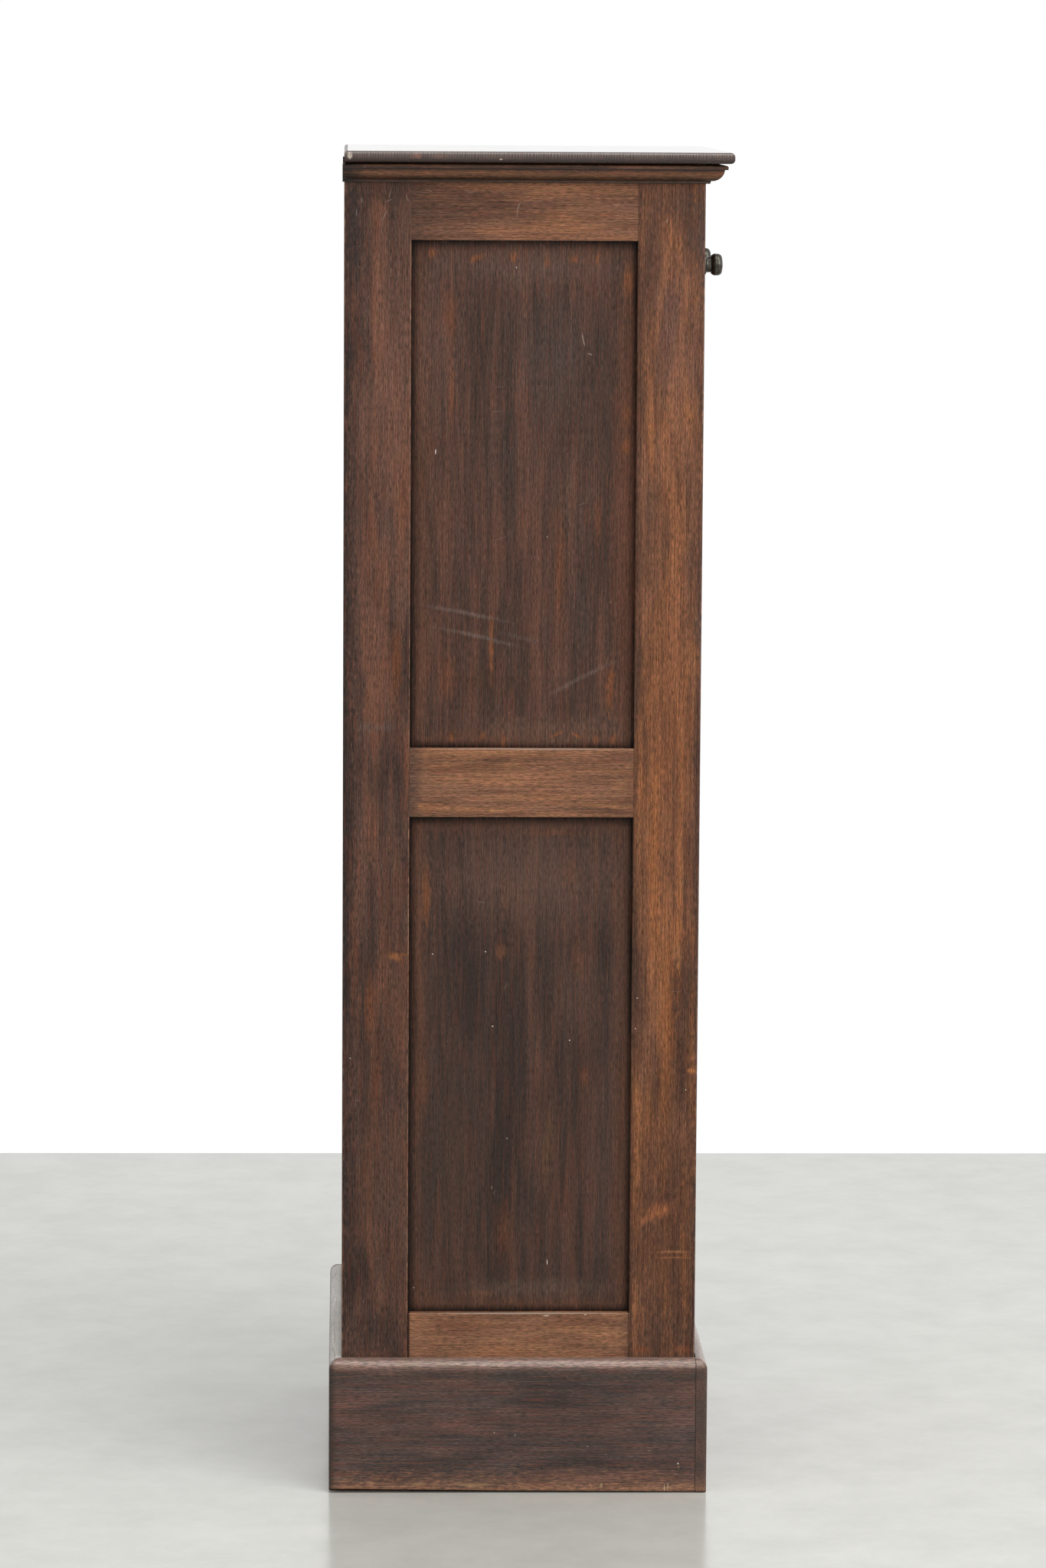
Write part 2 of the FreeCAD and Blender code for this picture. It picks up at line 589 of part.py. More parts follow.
def keyhole(y0, y1):
    """Round hole with a slot below it, through whatever lies between two depths."""
    z = LEAD_RAIL_TOP - KEYHOLE_BELOW_TOP
    hole = Part.makeCylinder(KEYHOLE_RADIUS, y1 - y0, V(0, y0, z), Y)
    half = KEYHOLE_SLOT_WIDTH / 2
    return hole.fuse(block(-half, half, y0, y1, z - KEYHOLE_SLOT_HEIGHT, z))


def lock_screw(x, z, down):
    """Countersunk screw with its head flush at z."""
    place = V(x, LOCK_MIDDLE, z)
    taper = LOCK_SCREW_HEAD_RADIUS - LOCK_SCREW_RADIUS
    head = Part.makeCone(LOCK_SCREW_HEAD_RADIUS, LOCK_SCREW_RADIUS, taper, place, Z * down)
    return head.fuse(Part.makeCylinder(LOCK_SCREW_RADIUS, LOCK_SCREW_LENGTH, place, Z * down))


def screw_pair(width, z, down):
    x = width / 2 - LOCK_SCREW_EDGE
    return [lock_screw(-x, z, down), lock_screw(x, z, down)]


def lock_bolt_at(room, z0, z1):
    x = BOLT_WIDTH / 2 + room
    y = BOLT_THICKNESS / 2 + room
    return block(-x, x, LOCK_MIDDLE - y, LOCK_MIDDLE + y, z0, z1)


def lock_envelope():
    """Case and top plate of the mortise lock, without its cavity."""
    case_x = LOCK_WIDTH / 2
    plate_x = LOCK_PLATE_WIDTH / 2
    case = block(-case_x, case_x, LOCK_FRONT, LOCK_BACK, LEAD_RAIL_TOP - LOCK_HEIGHT, LEAD_RAIL_TOP)
    return case.fuse(block(-plate_x, plate_x, LOCK_FRONT, LOCK_BACK,
                           LEAD_RAIL_TOP - LOCK_PLATE_THICKNESS, LEAD_RAIL_TOP))


def lock_case(screws):
    cavity = lock_bolt_at(BOLT_ROOM, LEAD_RAIL_TOP - BOLT_HEIGHT - BOLT_ROOM, LEAD_RAIL_TOP)
    cavity_front = LOCK_MIDDLE - BOLT_THICKNESS / 2 - BOLT_ROOM
    return lock_envelope().cut(screws + [cavity, keyhole(LOCK_FRONT, cavity_front)])


def lead_rail(knob_bolts, screws):
    """Top rail of the curtain, which carries the knobs and the lock and runs in the race."""
    x = -INNER + CURTAIN_SIDE_ROOM
    rail = block(x, -x, LEAD_RAIL_FACE, CURTAIN_BACK, LEAD_RAIL_BOTTOM, LEAD_RAIL_TOP)
    tongue = end_tongue(x, LEAD_RAIL_BOTTOM, LEAD_RAIL_TOP)
    rail = rail.fuse([tongue, mirrored(tongue)])
    along = X * (-2 * x)
    cuts = [lock_envelope(), keyhole(LEAD_RAIL_FACE, LOCK_FRONT)] + knob_bolts + screws
    cuts.append(arris(V(x, LEAD_RAIL_FACE, LEAD_RAIL_TOP), Y, -Z, along, ARRIS_ROUND))
    cuts.append(arris(V(x, LEAD_RAIL_FACE, LEAD_RAIL_BOTTOM), Y, Z, along, ARRIS_ROUND))
    return rail.cut(cuts)


def key_plate():
    """Thin oval plate round the keyhole, on the face of the lead rail."""
    y0 = LEAD_RAIL_FACE - KEY_PLATE_THICKNESS
    radius = KEY_PLATE_WIDTH / 2
    straight = KEY_PLATE_HEIGHT - KEY_PLATE_WIDTH
    middle = LEAD_RAIL_TOP - KEYHOLE_BELOW_TOP - KEYHOLE_SLOT_HEIGHT / 2
    low = middle - straight / 2
    high = middle + straight / 2
    edges = lines([V(radius, y0, low), V(radius, y0, high)])
    edges.append(arc(V(radius, y0, high), V(0, y0, high + radius), V(-radius, y0, high)))
    edges += lines([V(-radius, y0, high), V(-radius, y0, low)])
    edges.append(arc(V(-radius, y0, low), V(0, y0, low - radius), V(radius, y0, low)))
    plate = face_of(edges).extrude(Y * KEY_PLATE_THICKNESS)
    return plate.cut(keyhole(y0, LEAD_RAIL_FACE))


def strike_plate():
    x = STRIKE_WIDTH / 2
    return block(-x, x, LOCK_FRONT, LOCK_BACK, HEAD_RAIL_BOTTOM, HEAD_RAIL_BOTTOM + STRIKE_THICKNESS)


def shelf_bottom(i):
    """Underside of shelf i, counted from 0 at the lowest."""
    return FLOOR_TOP + (i + 1) * SHELF_CLEAR + i * BOARD_THICKNESS


def shelf(i):
    x = INNER - SHELF_END_ROOM
    z = shelf_bottom(i)
    return block(-x, x, SHELF_FRONT, FALSE_BACK_FRONT, z, z + BOARD_THICKNESS)


def shelf_cleats():
    cleats = []
    for i in range(SHELF_COUNT):
        z = shelf_bottom(i)
        cleat = block(-INNER, -INNER + CLEAT_THICKNESS, SHELF_FRONT, FALSE_BACK_FRONT,
                      z - CLEAT_HEIGHT, z)
        front_end = V(-INNER, SHELF_FRONT, z - CLEAT_HEIGHT)
        cleats.append(cleat.cut(arris(front_end, Y, Z, X * CLEAT_THICKNESS, CLEAT_THICKNESS)))
    return Part.makeCompound(cleats)


os.makedirs("parts", exist_ok=True)

# Plinth
save("plinth_front", plinth_front())
save("plinth_back", plinth_back())
save_pair("plinth", plinth_side())

# Side frames
save_pair("front_stile", front_stile())
save_pair("back_stile", back_stile())
save_pair("side_bottom_rail", side_rail(BOTTOM_RAIL_FOOT, BOTTOM_RAIL_TOP, False, True))
save_pair("side_mid_rail", side_rail(LOWER_OPENING[1], UPPER_OPENING[0], True, True))
save_pair("side_top_rail", side_rail(UPPER_OPENING[1], CARCASS_TOP, True, False))
save_pair("side_lower_panel", side_panel(LOWER_OPENING))
save_pair("side_upper_panel", side_panel(UPPER_OPENING))

# Framed back
save("back_bottom_rail", back_rail(BOTTOM_RAIL_FOOT, BOTTOM_RAIL_TOP, False, True))
save("back_mid_rail", back_rail(LOWER_OPENING[1], UPPER_OPENING[0], True, True))
save("back_top_rail", back_rail(UPPER_OPENING[1], CARCASS_TOP, True, False))
save("back_lower_panel", back_panel(LOWER_OPENING))
save("back_upper_panel", back_panel(UPPER_OPENING))

# Front rails, with the strike let into the head rail
strike = strike_plate()
strike_screws = screw_pair(STRIKE_WIDTH, HEAD_RAIL_BOTTOM, 1)
pocket = lock_bolt_at(BOLT_ROOM, HEAD_RAIL_BOTTOM, HEAD_RAIL_BOTTOM + BOLT_THROW + STRIKE_POCKET_ROOM)
head_rail = front_rail(HEAD_RAIL_BOTTOM, CARCASS_TOP, HEAD_RAIL_THICKNESS)
save("head_rail", head_rail.cut(strike_screws + [strike, pocket]))
save("strike_plate", strike.cut(strike_screws + [pocket]))
save("strike_screws", Part.makeCompound(strike_screws))
front_bottom_rail = front_rail(FRONT_RAIL_TOP - FRONT_RAIL_HEIGHT, FRONT_RAIL_TOP, FRONT_RAIL_THICKNESS)
save("front_bottom_rail", front_bottom_rail)

# Boards inside
housed = INNER + BOARD_HOUSING
save("carcass_floor", block(-housed, housed, SHELF_FRONT, FALSE_BACK_FRONT, FLOOR_BOTTOM, FLOOR_TOP))
save("dust_board", block(-housed, housed, FRONT + HEAD_RAIL_THICKNESS, BACK - BACK_FRAME_THICKNESS,
                         DUST_BOARD_BOTTOM, CARCASS_TOP))
save("false_back", block(-housed, housed, FALSE_BACK_FRONT, FALSE_BACK_FRONT + FALSE_BACK_THICKNESS,
                         FLOOR_BOTTOM, DUST_BOARD_BOTTOM))
for i in range(SHELF_COUNT):
    save("shelf_%d" % (i + 1), shelf(i))
save_pair("shelf_cleats", shelf_cleats())

# Top
save("cornice_front", cornice_front())
save_pair("cornice", cornice_side())
save("top_board", top_board())

# Tambour
save("tambour_slats", tambour_slats())
save("tambour_canvas", tambour_canvas())

# Lead rail with its knobs and lock
bolts = [knob_bolt(-KNOB_SPACING / 2), knob_bolt(KNOB_SPACING / 2)]
lock_screws = screw_pair(LOCK_PLATE_WIDTH, LEAD_RAIL_TOP, -1)
save("lead_rail", lead_rail(bolts, lock_screws))
save("knob_left", knob(-KNOB_SPACING / 2).cut(bolts[0]))
save("knob_right", knob(KNOB_SPACING / 2).cut(bolts[1]))
save("knob_bolts", Part.makeCompound(bolts))
save("key_plate", key_plate())
save("lock_case", lock_case(lock_screws))
save("lock_screws", Part.makeCompound(lock_screws))
save("lock_bolt", lock_bolt_at(0, LEAD_RAIL_TOP - BOLT_HEIGHT, LEAD_RAIL_TOP))
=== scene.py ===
from math import pi, radians

import bmesh
import bpy
from mathutils import Matrix, Vector


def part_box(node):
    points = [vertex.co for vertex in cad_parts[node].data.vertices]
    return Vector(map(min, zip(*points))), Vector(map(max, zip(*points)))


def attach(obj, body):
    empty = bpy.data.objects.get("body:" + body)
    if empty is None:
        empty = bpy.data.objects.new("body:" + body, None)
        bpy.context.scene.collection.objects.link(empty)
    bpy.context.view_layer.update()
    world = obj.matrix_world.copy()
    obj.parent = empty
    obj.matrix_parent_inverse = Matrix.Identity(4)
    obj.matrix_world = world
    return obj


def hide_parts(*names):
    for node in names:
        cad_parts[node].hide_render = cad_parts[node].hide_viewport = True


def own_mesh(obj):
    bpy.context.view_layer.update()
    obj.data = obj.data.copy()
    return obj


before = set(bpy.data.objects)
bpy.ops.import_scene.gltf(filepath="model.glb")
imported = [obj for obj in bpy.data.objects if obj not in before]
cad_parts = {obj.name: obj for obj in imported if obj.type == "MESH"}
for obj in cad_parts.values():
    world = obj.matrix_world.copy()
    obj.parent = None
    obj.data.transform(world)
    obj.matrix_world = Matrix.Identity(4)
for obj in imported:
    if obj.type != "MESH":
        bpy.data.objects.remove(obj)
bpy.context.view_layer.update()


# Plinth: four oak boards fixed round the foot of the carcass, the front one lapping the ends of the side
# ones. Their top edge is rounded over, and feet and mops have scuffed the dark stain off along the floor; a
# painted highlight runs along the round, a painted shadow along the floor and painted shade down the back
# ends.

def linear(colour):
    """An sRGB hex value as linear red, green, blue and alpha."""
    parts = [int(colour[i:i + 2], 16) / 255 for i in (1, 3, 5)]
    return [p / 12.92 if p <= 0.04045 else ((p + 0.055) / 1.055) ** 2.4 for p in parts] + [1.0]


def add(tree, kind, feeds=(), **settings):
    """One node. Settings are its properties, feeds its inputs: values, or the sockets that drive them."""
    node = tree.nodes.new(kind)
    for key, value in settings.items():
        setattr(node, key, value)
    for key, value in dict(feeds).items():
        if isinstance(value, bpy.types.NodeSocket):
            tree.links.new(value, node.inputs[key])
        else:
            node.inputs[key].default_value = value
    return node.outputs


def distance_to(tree, point, edges):
    """Metres from a point to the nearest of some planes, given as an axis letter and a list of places."""
    parts = add(tree, "ShaderNodeSeparateXYZ", {0: point})
    nearest = None
    for axis, places in edges.items():
        for place in places:
            gap = add(tree, "ShaderNodeMath", {0: parts[axis], 1: place}, operation="SUBTRACT")[0]
            gap = add(tree, "ShaderNodeMath", {0: gap}, operation="ABSOLUTE")[0]
            if nearest is not None:
                gap = add(tree, "ShaderNodeMath", {0: gap, 1: nearest}, operation="MINIMUM")[0]
            nearest = gap
    return nearest


grain_turn = {"X": (0, -pi / 2, 0), "Y": (pi / 2, 0, 0), "Z": (0, 0, 0)}


def stained_oak(name, grain, tones, board, polish=0.45, gloss=0.08, worn="#8d6a55", dust=0.0, figure=1.05,
                cloudy=48, drawn=4.0, face=0.0, bands=(), patches=(), scars_and_highlights=(), strips=None):
    """Quarter-sawn oak, fumed and stained dark, then waxed: fine straight grain with open pores, patches
    where the stain has thinned to orange, rubbed arrises and an uneven soft sheen.

    Tones are the dark, the middle and the thin stain. Its clouds are so many mm wide, and drawn out so many
    times along the grain. Bands follow edges: edges, width in mm, tint, strength, raggedness; some of them
    are painted shade or painted highlight. Patches in the stain, and scars through it and painted
    highlights along arrises, lie on the face at x = face: y, z, half width and half height in mm, tint,
    strength and, where they have them, lean in degrees and bow in mm. Strips are narrow boards one above
    the other, each with grain of
    its own: where the lowest starts and their pitch, in metres."""
    material = bpy.data.materials.new(name)
    material.use_nodes = True
    tree = material.node_tree
    smooth = dict(interpolation_type="SMOOTHSTEP")
    place = add(tree, "ShaderNodeTexCoord")
    point = place["Object"]
    grown = point
    if strips:
        lowest, pitch = strips
        times_further_along = 17.3
        rise = add(tree, "ShaderNodeSeparateXYZ", {0: point})["Z"]
        rise = add(tree, "ShaderNodeMath", {0: rise, 1: lowest}, operation="SUBTRACT")[0]
        rise = add(tree, "ShaderNodeMath", {0: rise, 1: pitch}, operation="SNAP")[0]
        shift = add(tree, "ShaderNodeMath", {0: rise, 1: times_further_along}, operation="MULTIPLY")[0]
        shift = add(tree, "ShaderNodeCombineXYZ", {grain: shift})[0]
        grown = add(tree, "ShaderNodeVectorMath", {0: point, 1: shift}, operation="ADD")[0]
    # Every board is cut from a place of its own in the patterns
    along = add(tree, "ShaderNodeMapping", {"Vector": grown, "Rotation": grain_turn[grain],
                                            "Location": (0.31 * board, 0.17 * board, 0.53 * board)})[0]

    def streaks(width, length, detail, drift=0.0):
        """Noise drawn out along the grain, with its size in millimetres."""
        run = add(tree, "ShaderNodeMapping", {"Vector": along, "Scale": (1, 1, width / length)})[0]
        return add(tree, "ShaderNodeTexNoise", {"Vector": run, "Scale": 1000 / width, "Detail": detail,
                                                "Roughness": 0.6, "Distortion": drift})

    def stained(colour, pattern, low, high, tint, at_low=0.0, at_high=1.0):
        """The colour under a tint whose strength changes as the pattern goes from low to high."""
        share = add(tree, "ShaderNodeMapRange", {0: pattern, 1: low, 2: high, 3: at_low, 4: at_high},
                    **smooth)[0]
        return add(tree, "ShaderNodeMix", {0: share, 6: colour, 7: linear(tint)}, data_type="RGBA")[2]

    def marked(colour, mark, rag, inner, outer):
        """The colour under a mark that is full out to the inner reach, where 1 is its rim, and gone at the
        outer one."""
        y, z, half_width, half_height, tint, strength, lean, bow = (*mark, 0, 0)[:8]
        mark_depth = 6
        local = add(tree, "ShaderNodeMapping", {
            "Vector": point, "Location": (face, y / 1000, z / 1000), "Rotation": (radians(lean), 0, 0),
            "Scale": (mark_depth / 1000, half_width / 1000, half_height / 1000)}, vector_type="TEXTURE")[0]
        if bow:
            bow_share = bow / min(half_width, half_height)
            run, rise = ("Z", "Y") if half_height > half_width else ("Y", "Z")
            parts = add(tree, "ShaderNodeSeparateXYZ", {0: local})
            bulge = add(tree, "ShaderNodeMath", {0: parts[run], 1: parts[run]}, operation="MULTIPLY")[0]
            bent = add(tree, "ShaderNodeMath", {0: bulge, 1: bow_share, 2: parts[rise]},
                       operation="MULTIPLY_ADD")[0]
            local = add(tree, "ShaderNodeCombineXYZ", {"X": parts["X"], run: parts[run], rise: bent})[0]
        reach = add(tree, "ShaderNodeVectorMath", {0: local}, operation="LENGTH")["Value"]
        reach = add(tree, "ShaderNodeMath", {0: feather, 1: rag, 2: reach}, operation="MULTIPLY_ADD")[0]
        return stained(colour, reach, inner, outer, tint, strength, 0.0)

    cloud = streaks(cloudy, cloudy * drawn, 3, 0.5)["Fac"]
    thin = streaks(0.5 * cloudy, cloudy * drawn, 2, 0.6)["Fac"]
    ring = streaks(6, 300, 2)["Fac"]
    feather = streaks(3.2, 10, 3)["Fac"]
    # Oak's pores and rays are about 0.3 mm wide, drawn three times as coarse to show from across a room
    line = streaks(1.0, 8, 2)
    hair = streaks(0.9, 60, 1)["Fac"]
    red_hair = streaks(1.3, 45, 1)["Fac"]
    pore = streaks(0.9, 8, 0)["Fac"]
    fleck = streaks(1.5, 2.6, 0)["Fac"]

    shade, body, warm = tones
    depth = add(tree, "ShaderNodeMath", {0: ring, 1: 0.4, 2: cloud}, operation="MULTIPLY_ADD")[0]
    colour = stained(linear(shade), depth, 0.52, 0.88, body)
    colour = stained(colour, thin, 0.40, 0.74, warm, 0.0, 0.8)
    # Rounds and arrises, which face no axis squarely, are rubbed through in places
    square = add(tree, "ShaderNodeVectorMath", {0: place["Normal"]}, operation="ABSOLUTE")[0]
    square = add(tree, "ShaderNodeSeparateXYZ", {0: square})
    squarest = add(tree, "ShaderNodeMath", {0: square[0], 1: square[1]}, operation="MAXIMUM")[0]
    squarest = add(tree, "ShaderNodeMath", {0: squarest, 1: square[2]}, operation="MAXIMUM")[0]
    arris = add(tree, "ShaderNodeMapRange", {0: squarest, 1: 0.99, 2: 0.88}, **smooth)[0]
    rubbed = add(tree, "ShaderNodeMapRange", {0: feather, 1: 0.36, 2: 0.62, 3: 0.25, 4: 0.95}, **smooth)[0]
    rubbed = add(tree, "ShaderNodeMath", {0: arris, 1: rubbed}, operation="MULTIPLY")[0]
    colour = add(tree, "ShaderNodeMix", {0: rubbed, 6: colour, 7: linear(worn)}, data_type="RGBA")[2]
    for edges, width, tint, strength, rag in bands:
        gap = distance_to(tree, point, edges)
        gap = add(tree, "ShaderNodeMath", {0: gap, 1: 1000 / width}, operation="MULTIPLY")[0]
        gap = add(tree, "ShaderNodeMath", {0: feather, 1: rag, 2: gap}, operation="MULTIPLY_ADD")[0]
        colour = stained(colour, gap, 0.1 + 0.5 * rag, 1.0 + 0.5 * rag, tint, strength, 0.0)
    for mark in patches:
        colour = marked(colour, mark, 1.6, 0.9, 1.9)
    colour = add(tree, "ShaderNodeMix", {0: 0.24 * figure, 6: colour, 7: line["Color"]}, data_type="RGBA",
                 blend_type="OVERLAY")[2]
    for pattern, contrast in ((line["Fac"], 0.38 * figure), (hair, 0.28 * figure)):
        level = add(tree, "ShaderNodeMapRange", {0: pattern, 1: 0.25, 2: 0.75, 3: 1 - contrast,
                                                 4: 1 + contrast}, **smooth)[0]
        colour = add(tree, "ShaderNodeMix", {0: 1.0, 6: colour, 7: level}, data_type="RGBA",
                     blend_type="MULTIPLY")[2]
    colour = stained(colour, red_hair, 0.52, 0.72, "#84452f", 0.0, 0.26 * figure)
    colour = stained(colour, pore, 0.60, 0.70, "#1a120e", 0.0, 0.3)
    colour = stained(colour, fleck, 0.78, 0.86, "#a59284", 0.0, 0.2 * figure)
    for mark in scars_and_highlights:
        colour = marked(colour, mark, 0.8, 0.8, 1.4)
    if dust:
        up = add(tree, "ShaderNodeSeparateXYZ", {0: place["Normal"]})["Z"]
        up = add(tree, "ShaderNodeMapRange", {0: up, 1: 0.9, 2: 0.99}, **smooth)[0]
        settled = add(tree, "ShaderNodeMapRange", {0: feather, 1: 0.35, 2: 0.65, 3: 0.6 * dust, 4: dust},
                      **smooth)[0]
        settled = add(tree, "ShaderNodeMath", {0: up, 1: settled}, operation="MULTIPLY")[0]
        colour = add(tree, "ShaderNodeMix", {0: settled, 6: colour, 7: linear("#d6d2c9")},
                     data_type="RGBA")[2]

    pit = add(tree, "ShaderNodeMapRange", {0: pore, 1: 0.60, 2: 0.70}, **smooth)[0]
    relief = add(tree, "ShaderNodeMath", {0: pit, 1: -0.8, 2: line["Fac"]}, operation="MULTIPLY_ADD")[0]
    surface = add(tree, "ShaderNodeBump", {"Strength": 0.2 * figure, "Distance": 0.0004,
                                           "Height": relief})[0]
    satin = add(tree, "ShaderNodeMapRange", {0: cloud, 1: 0.3, 2: 0.7, 3: polish - 0.07, 4: polish + 0.1},
                **smooth)[0]
    satin = add(tree, "ShaderNodeMath", {0: rubbed, 1: -0.3 * polish, 2: satin},
                operation="MULTIPLY_ADD")[0]
    shader = tree.nodes["Principled BSDF"]
    tree.links.new(colour, shader.inputs["Base Color"])
    tree.links.new(satin, shader.inputs["Roughness"])
    tree.links.new(surface, shader.inputs["Normal"])
    shader.inputs["Specular IOR Level"].default_value = gloss
    return material


def dress(material, *nodes):
    """Gives CAD pieces their material."""
    for node in nodes:
        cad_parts[node].material_slots[0].material = material


plinth_low, plinth_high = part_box("plinth_left")
plinth_round = 0.0125
scuffed_wood = "#a4775a"
pale_wood = "#c9b39c"
plinth = dict(tones=("#382e2b", "#53443f", "#6b4c42"), gloss=0.3, polish=0.38, worn="#5d4a40",
              figure=1.25, cloudy=75, drawn=2.6)
at_floor = {"Z": [0.0]}
under_round = {"Z": [plinth_high.z - 1.6 * plinth_round]}
# Scuffs along the foot, a painted contact shadow in the last few mm at the floor, and a darker band under
# the round
scuffs_and_contact_shadow = [(at_floor, 34, "#7f5c48", 0.75, 2.2), (at_floor, 13, scuffed_wood, 0.6, 3.0),
              (at_floor, 4.5, "#0d0a09", 0.95, 0.2), (under_round, 8, "#38322c", 0.55, 0.8)]
# The round is rubbed pale, with a painted highlight along its middle
rubbed_round_and_painted_highlight = [({"Z": [plinth_high.z - 0.4 * plinth_round]}, 10, "#8a6f63", 0.85, 0.3),
                  ({"Z": [plinth_high.z - 0.42 * plinth_round]}, 4.5, "#ad9a8f", 0.6, 0.3)]
# Dust along the back board's round, made paler still as a painted sheen
dust_and_sheen_round = [({"Z": [plinth_high.z]}, 14, "#c3beb5", 0.85, 0.8)]
front_lap = ({"Y": [plinth_low.y]}, 1.8, "#0d0a08", 0.95, 0.2)
# Painted shade down the rounded back end of each side board
shaded_back_end = ({"Y": [plinth_high.y]}, 11, "#2b2620", 0.8, 0.5)
kicks = [(-92, 9, 2.2, 4.5, "#a88d68", 0.75, 10), (-79, 9, 2, 5, scuffed_wood, 0.6, -12),
         (-168, 6, 1.0, 6, "#c2a886", 0.75), (-172, 8, 0.8, 6, "#c2a886", 0.7, 4),
         (-184, 36, 1.0, 1.2, "#e6ddd3", 0.9), (-185, 31, 0.8, 4, "#8c7d55", 0.5),
         (37, 74, 1.0, 1.0, "#d9cfc6", 0.7), (12, 71, 0.9, 0.9, "#d9cfc6", 0.6),
         (-149, 52, 1.2, 0.8, pale_wood, 0.6), (-75, 57, 1.2, 0.8, pale_wood, 0.5),
         (60, 10, 30, 3, "#9c7d5c", 0.5), (128, 11, 12, 3, "#a2805f", 0.5),
         (186, 12, 7, 3, "#a97c5c", 0.5)]
for side, board, face, marks in (("left", 1, plinth_low.x, kicks), ("right", 2, -plinth_low.x, kicks[3:8])):
    oak = stained_oak("plinth_oak_" + side, "Y", board=board, face=face, scars_and_highlights=marks, dust=0.1,
                      bands=scuffs_and_contact_shadow + rubbed_round_and_painted_highlight + [front_lap, shaded_back_end], **plinth)
    dress(oak, "plinth_" + side)
front_board_end = (1000 * plinth_low.y - 9, 80, 16, 110, "#463b34", 0.7)
oak = stained_oak("plinth_oak_front", "X", board=3, face=plinth_low.x, patches=[front_board_end], dust=0.1,
                  bands=scuffs_and_contact_shadow + rubbed_round_and_painted_highlight, **plinth)
dress(oak, "plinth_front")
oak = stained_oak("plinth_oak_back", "X", board=4, bands=scuffs_and_contact_shadow + dust_and_sheen_round, dust=0.95, **plinth)
dress(oak, "plinth_back")


# Side frames: two stiles and three rails, tongued together with glue, round two flat panels that float in
# grooves. Hands have worn the front stile warm and moves have left scratches; painted shade lies in the
# recesses round the panels and under the cornice, and painted highlights run along some arrises.

front_stile_low, front_stile_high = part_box("front_stile_left")
back_stile_low, back_stile_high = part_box("back_stile_left")
opening_y = [front_stile_high.y, back_stile_low.y]
at_front_stile, at_back_stile = {"Y": opening_y[:1]}, {"Y": opening_y[1:]}
mid_rail_low, mid_rail_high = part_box("side_mid_rail_left")
top_rail_low, top_rail_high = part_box("side_top_rail_left")
lower_opening_z = [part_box("side_bottom_rail_left")[1].z, mid_rail_low.z]
upper_opening_z = [mid_rail_high.z, top_rail_low.z]
outer_face = front_stile_low.x
panel_recess = 0.011
panel_face = outer_face + panel_recess
# Painted shade in the recesses round the panels
recess_shade = "#1c1714"
seam = "#0c0907"
thin_stain = "#8a5434"
rubbed_pale = "#8b7266"
nick = "#ddd3ca"

front_stile_marks = dict(
    patches=[(1000 * front_stile_low.y, 870, 9, 900, "#43342f", 0.75),
             (-165, 1390, 42, 150, "#705147", 0.5), (-172, 1545, 40, 28, "#52413a", 0.5),
             (-158, 1548, 16, 12, "#6e4b39", 0.5), (-202, 1505, 24, 80, "#4a3d39", 0.7),
             (-146, 1355, 18, 60, "#5a3f31", 0.5), (-173, 1045, 12, 240, "#a86e4c", 0.45),
             (-205, 240, 14, 200, "#42342e", 0.65), (-165, 900, 36, 350, "#8b583b", 0.45),
             (-150, 780, 10, 190, "#a0653c", 0.55), (-167, 560, 12, 190, "#955d38", 0.55),
             (-180, 720, 5, 150, "#a86b42", 0.5), (-172, 850, 3, 170, "#573b2d", 0.55),
             (-187, 760, 3.5, 120, "#5c3f30", 0.55), (-137, 720, 3, 130, "#5f412f", 0.55),
             (-158, 1040, 4, 120, "#5f4333", 0.5), (-190, 560, 9, 150, "#4a362d", 0.6),
             (-198, 1040, 7, 30, "#54413a", 0.6), (-140, 1180, 7, 60, "#5b4438", 0.5),
             (-190, 1120, 8, 40, "#5a4238", 0.5), (-165, 310, 46, 250, "#51372b", 0.65),
             (-165, 190, 46, 70, "#4c3a31", 0.6), (-158, 341, 22, 11, "#975f40", 0.9, -12),
             (-142, 331, 13, 8, "#8f5b40", 0.85, -35), (-176, 292, 27, 2.2, "#9a6846", 0.75, 0, 1),
             (-178, 285, 24, 2.0, "#94623f", 0.7, 0, 1), (-197, 512, 7, 4, "#a86c42", 0.8),
             (-178, 655, 8, 22, "#9a6a48", 0.5, -10), (-140, 172, 12, 5, "#8a5138", 0.6),
             (-190, 172, 12, 6, "#8a5138", 0.6)],
    scars_and_highlights=[(-131, 600, 0.9, 1.0, nick, 0.85), (-129, 563, 0.8, 1.0, nick, 0.8),
           (-190, 489, 0.9, 1.0, nick, 0.85), (-176, 608, 10, 0.5, rubbed_pale, 0.5, 0, 0.6),
           (-158, 1523, 0.8, 4, "#a39183", 0.7, 12)])
